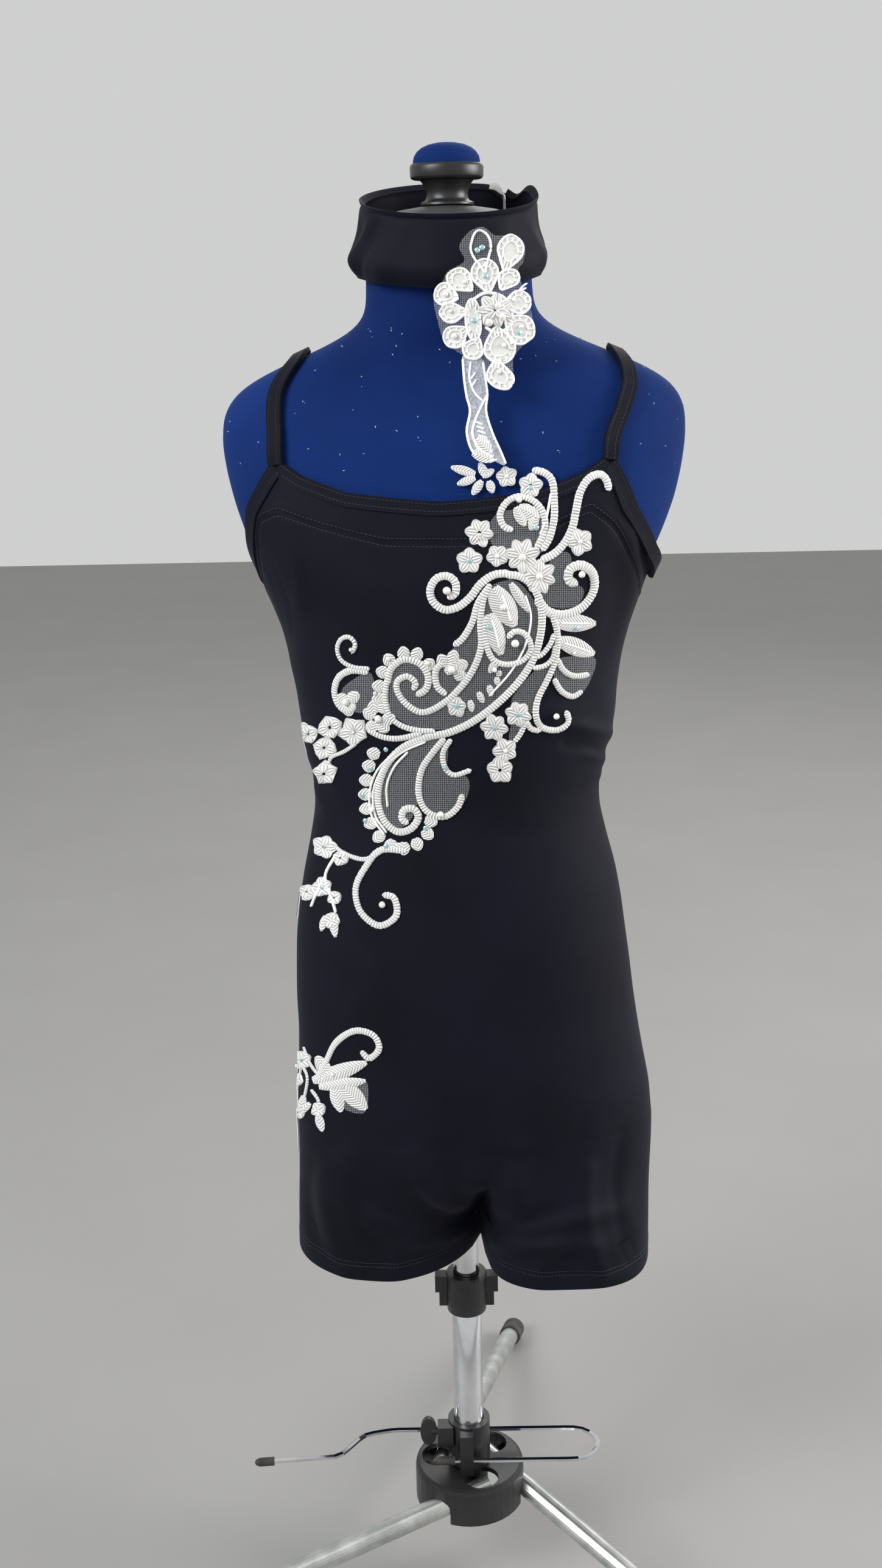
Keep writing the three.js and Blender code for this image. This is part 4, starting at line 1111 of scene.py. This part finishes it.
CHEST_NETS = [
    [(790, 335), (850, 290), (920, 300), (965, 350), (960, 470), (860, 470), (790, 445), (765, 390)],
    [(1010, 480), (1070, 470), (1075, 560), (1120, 600), (1095, 655), (1025, 668), (965, 640), (955, 590)],
    [(775, 590), (870, 570), (945, 660), (958, 790), (908, 900), (800, 1015), (690, 1085), (590, 1115),
     (480, 1100), (400, 1040), (395, 950), (420, 890), (480, 865), (545, 895), (590, 865), (640, 812),
     (712, 745), (745, 650)],
    [(945, 890), (1005, 860), (1010, 900), (960, 1000), (935, 1050), (880, 1040), (855, 1000)],
    [(1035, 850), (1160, 850), (1145, 930), (1100, 985), (1040, 965), (1008, 905)],
    [(600, 1140), (480, 1185), (400, 1260), (372, 1340), (380, 1430), (440, 1480), (500, 1410), (512, 1300),
     (560, 1220)],
    [(615, 1180), (620, 1265), (690, 1290), (690, 1360), (640, 1425), (570, 1432), (520, 1380), (512, 1290),
     (560, 1210)],
    [(240, 950), (330, 905), (345, 1000), (310, 1050), (265, 1045), (225, 1000)],
    [(860, 1080), (905, 1090), (880, 1150), (845, 1150)],
]
for outline in CHEST_NETS:
    body_lace.netting(chest(outline))

# The lower scrolls, in the whole view.
LOWER_BANDS = [
    (12, [(668, 1398), (625, 1397), (600, 1425), (584, 1460), (592, 1498), (622, 1521), (650, 1505),
          (647, 1476), (628, 1470)]),
    (8, [(628, 1398), (598, 1412), (565, 1402), (548, 1388)]),
    (6, [(552, 1405), (535, 1440), (545, 1475), (552, 1500)]),
    (6, [(535, 1440), (520, 1470), (512, 1490)]),
]
for width, line in LOWER_BANDS:
    body_lace.band(line, width)
LOWER_FLOWERS = [
    (534, 1392, 20, 5), (530, 1458, 16, 5), (506, 1466, 13, 4), (545, 1512, 14, 4), (560, 1410, 13, 4),
    (550, 1475, 12, 4),
]
for x, y, r, petals in LOWER_FLOWERS:
    body_lace.flower(x, y, r, petals, turn=x % 3)
LOWER_LEAVES = [
    ((545, 1500), (551, 1540), 15), ((535, 1505), (528, 1530), 12), ((515, 1470), (498, 1478), 12),
    ((640, 1397), (662, 1388), 16), ((506, 1200), (498, 1186), 12),
]
for base, tip, width in LOWER_LEAVES:
    body_lace.petal(base, tip, width)
body_lace.pearl(628, 1486, 6)
body_lace.sequin(536, 1391)
body_lace.sequin(531, 1458)
body_lace.pearl(612, 1330, 4)

HIP_BANDS = [
    (12, [(520, 1775), (535, 1745), (552, 1712), (582, 1693), (612, 1700), (622, 1722), (606, 1738),
          (592, 1726)]),
    (8, [(500, 1720), (512, 1750), (530, 1772)]),
    (8, [(489, 1676), (484, 1710), (496, 1745), (490, 1790)]),
    (8, [(494, 1745), (506, 1770), (500, 1810)]),
    (8, [(512, 1790), (524, 1810), (522, 1842)]),
]
for width, line in HIP_BANDS:
    body_lace.band(line, width)
HIP_LEAVES = [
    ((515, 1775), (602, 1745), 26), ((525, 1785), (600, 1775), 20), ((560, 1780), (601, 1822), 30),
    ((548, 1785), (560, 1826), 22), ((540, 1765), (520, 1735), 22), ((500, 1800), (492, 1838), 14),
    ((522, 1830), (530, 1858), 14), ((510, 1812), (494, 1828), 12), ((487, 1700), (478, 1680), 12),
]
for base, tip, width in HIP_LEAVES:
    body_lace.petal(base, tip, width)
for x, y, r, petals in [(498, 1742, 15, 5), (488, 1775, 12, 4), (524, 1822, 12, 4), (492, 1828, 11, 4)]:
    body_lace.flower(x, y, r, petals, turn=y % 3)
body_lace.pearl(548, 1764, 4)
body_lace.pearl(488, 1700, 4)
body_lace.sequin(498, 1742, 3.5)
body_lace.netting([(548, 1782), (596, 1772), (604, 1800), (596, 1828), (566, 1822), (546, 1800)])
body_lace.build("lace_motifs", ["lace_chest", "lace_waist", "lace_sprig", "lace_branch", "lace_hip"])

# The flower and link that hang from the collar.
hang = Lace(on_hang)
# Petals: place, half sizes, tilt in degrees, fill.
NECK_PETALS = [
    (680, 410, 50, 88, 0, 0), (822, 422, 62, 76, 10, 0.9), (700, 535, 66, 70, 0, 0.6),
    (578, 562, 62, 56, 20, 0.6), (506, 632, 52, 54, 0, 0.6), (540, 722, 58, 48, 0, 0.8),
    (556, 838, 56, 54, 20, 0.6), (642, 900, 50, 48, 0, 0.7), (770, 888, 76, 78, 10, 0.8),
    (868, 802, 68, 74, 0, 0.7), (860, 672, 58, 56, 0, 0.9), (812, 556, 54, 44, -15, 0.7),
    (643, 755, 37, 102, -4, 1.6), (772, 1030, 74, 54, 35, 0.8),
]
middle, heart = neck([FLOWER_MIDDLE, FLOWER_HEART])
for x, y, rx, ry, tilt, fill in NECK_PETALS:
    hang.corded(*neck([(x, y)])[0], rx / NECK_ZOOM, ry / NECK_ZOOM, math.radians(tilt), fill, 3.6,
                middle=middle if fill < 1.5 else None)
hang.flower(*heart, 30, 7, 0.4, 3.2)
hang.flower(*heart, 18, 5, 0.9, 4.2)
NECK_BANDS = [
    (5, [(640, 660), (700, 625), (780, 640), (830, 700), (820, 780), (760, 820), (700, 790)]),
    (4, [(690, 650), (740, 655), (780, 690), (775, 740)]),
    (3, [(860, 620), (885, 590), (905, 578)]),
    (3, [(870, 615), (900, 600)]),
    (4, [(592, 945), (600, 1050), (612, 1130), (628, 1200), (612, 1300), (640, 1395), (700, 1440),
         (760, 1435)]),
    (3.4, [(690, 960), (706, 1060), (712, 1120), (706, 1200), (735, 1300), (775, 1390), (802, 1455)]),
    (3.8, [(712, 1120), (680, 1180), (650, 1250), (640, 1310), (670, 1380), (740, 1425)]),
    (3.2, [(630, 960), (625, 1040), (650, 1110), (690, 1150)]),
    (3, [(655, 1010), (630, 1045)]),
    (3, [(658, 1045), (636, 1080)]),
]
for width, line in NECK_BANDS:
    hang.band(neck(line), width, 1.0)
for y in range(1250, 1430, 22):
    hang.band(neck([(650 + (y - 1250) * 0.25, y), (690 + (y - 1250) * 0.35, y + 14)]), 3, 0.7)
hang.petal(*neck([(640, 1400), (745, 1440)]), 20, 1.2)
hang.petal(*neck([(660, 1330), (730, 1410)]), 26, 0.9)
FLOWER_NET = [
    (600, 470), (575, 400), (620, 330), (690, 305), (750, 345), (830, 345), (890, 380), (888, 470),
    (860, 520), (900, 640), (935, 770), (900, 860), (840, 940), (835, 1060), (770, 1085), (690, 1000),
    (690, 960), (590, 925), (505, 860), (470, 760), (450, 640), (490, 580), (520, 520),
]
LINK_NET = [
    (592, 930), (690, 950), (708, 1060), (712, 1150), (706, 1200), (735, 1300), (800, 1455), (740, 1440),
    (650, 1410), (612, 1310), (632, 1200), (605, 1080),
]
hang.netting(neck(FLOWER_NET))
hang.netting(neck(LINK_NET), bag=hang.sheer)
NECK_PEARLS = [
    (757, 690, 22), (777, 742, 22), (718, 768, 20), (510, 632, 13), (552, 836, 13), (872, 790, 11),
    (600, 572, 10), (820, 575, 10), (838, 660, 10), (790, 880, 11), (768, 1010, 11), (534, 715, 9),
]
for x, y, r in NECK_PEARLS:
    hang.pearl(*neck([(x, y)])[0], r / NECK_ZOOM)
for x, y in neck([(662, 418), (685, 405), (645, 760), (700, 545), (862, 820)]):
    hang.sequin(x, y)
hang.build("lace_hanging", ["lace_flower", "lace_link"])

# ---- stand ----
TUBES = [
    ("stand_tube", "outer_tube", "stand",
     [(10, 62.2), (11.1, 62), (11.1, 255.4), (10.9, 255.6), (10, 255.6)]),
    ("form_tube", "inner_tube", "form", [(8.5, 120), (9.5, 120), (9.5, 395.6), (8.5, 395.6)]),
]
for name, stands_for, body, profile in TUBES:
    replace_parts(lathe(name, profile, CHROME, body, "chrome"), stands_for)

# The frame's own solids that are shown as they are.
SHOWN = (
    (PLASTIC, ("height_collar", "hub", "marker_holder", "thumb_screw")),
    (ZINC, ("leg_back", "leg_left", "leg_right")),
    (RUBBER, ("leg_cap_back", "leg_cap_left", "leg_cap_right", "wire_cap_back", "wire_cap_front")),
    (CHROME, ("marker_wire",)),
)
for mat, names in SHOWN:
    for name in names:
        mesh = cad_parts[name].data
        mesh.materials.clear()
        mesh.materials.append(mat)
        mesh.polygons.foreach_set("use_smooth", [True] * len(mesh.polygons))
        mesh.set_sharp_from_angle(angle=math.radians(32))

# ---- floor and light ----
floor_mesh = bpy.data.meshes.new("floor")
floor_mesh.from_pydata([(-4, -3, 0), (4, -3, 0), (4, 5, 0), (-4, 5, 0)], [], [(0, 1, 2, 3)])
floor = bpy.data.objects.new("floor", floor_mesh)
FLOOR = material("floor", (0.5, 0.49, 0.47), 0.7)
mottle(FLOOR, (0.285, 0.281, 0.273), (0.295, 0.291, 0.283), 5.0)
floor_mesh.materials.append(FLOOR)
bpy.context.scene.collection.objects.link(floor)

world = bpy.data.worlds.new("studio")
bpy.context.scene.world = world
world.use_nodes = True
world.node_tree.nodes["Background"].inputs[0].default_value = (0.81, 0.812, 0.815, 1)
world.node_tree.nodes["Background"].inputs[1].default_value = 0.77


def lamp(name, place, target, size, watts, colour=(1, 1, 1)):
    """A square lamp, sizes in m, that points at target."""
    data = bpy.data.lights.new(name, "AREA")
    data.size, data.energy, data.color = size, watts, colour
    o = bpy.data.objects.new(name, data)
    bpy.context.scene.collection.objects.link(o)
    o.location = place
    o.rotation_euler = (Vector(target) - Vector(place)).to_track_quat("-Z", "Y").to_euler()


lamp("window_left", (-1.9, -1.6, 2.2), (0, 0, 0.7), 1.3, 68, (0.97, 0.99, 1))
lamp("window_right", (2.3, -0.1, 1.4), (0, 0, 0.6), 1.3, 62, (1, 0.98, 0.97))
lamp("back_fill", (0.6, 2.4, 2.2), (0, 0, 0.7), 1.5, 18)
bpy.context.scene.view_settings.view_transform = "Standard"
bpy.context.scene.view_settings.exposure = 0.0
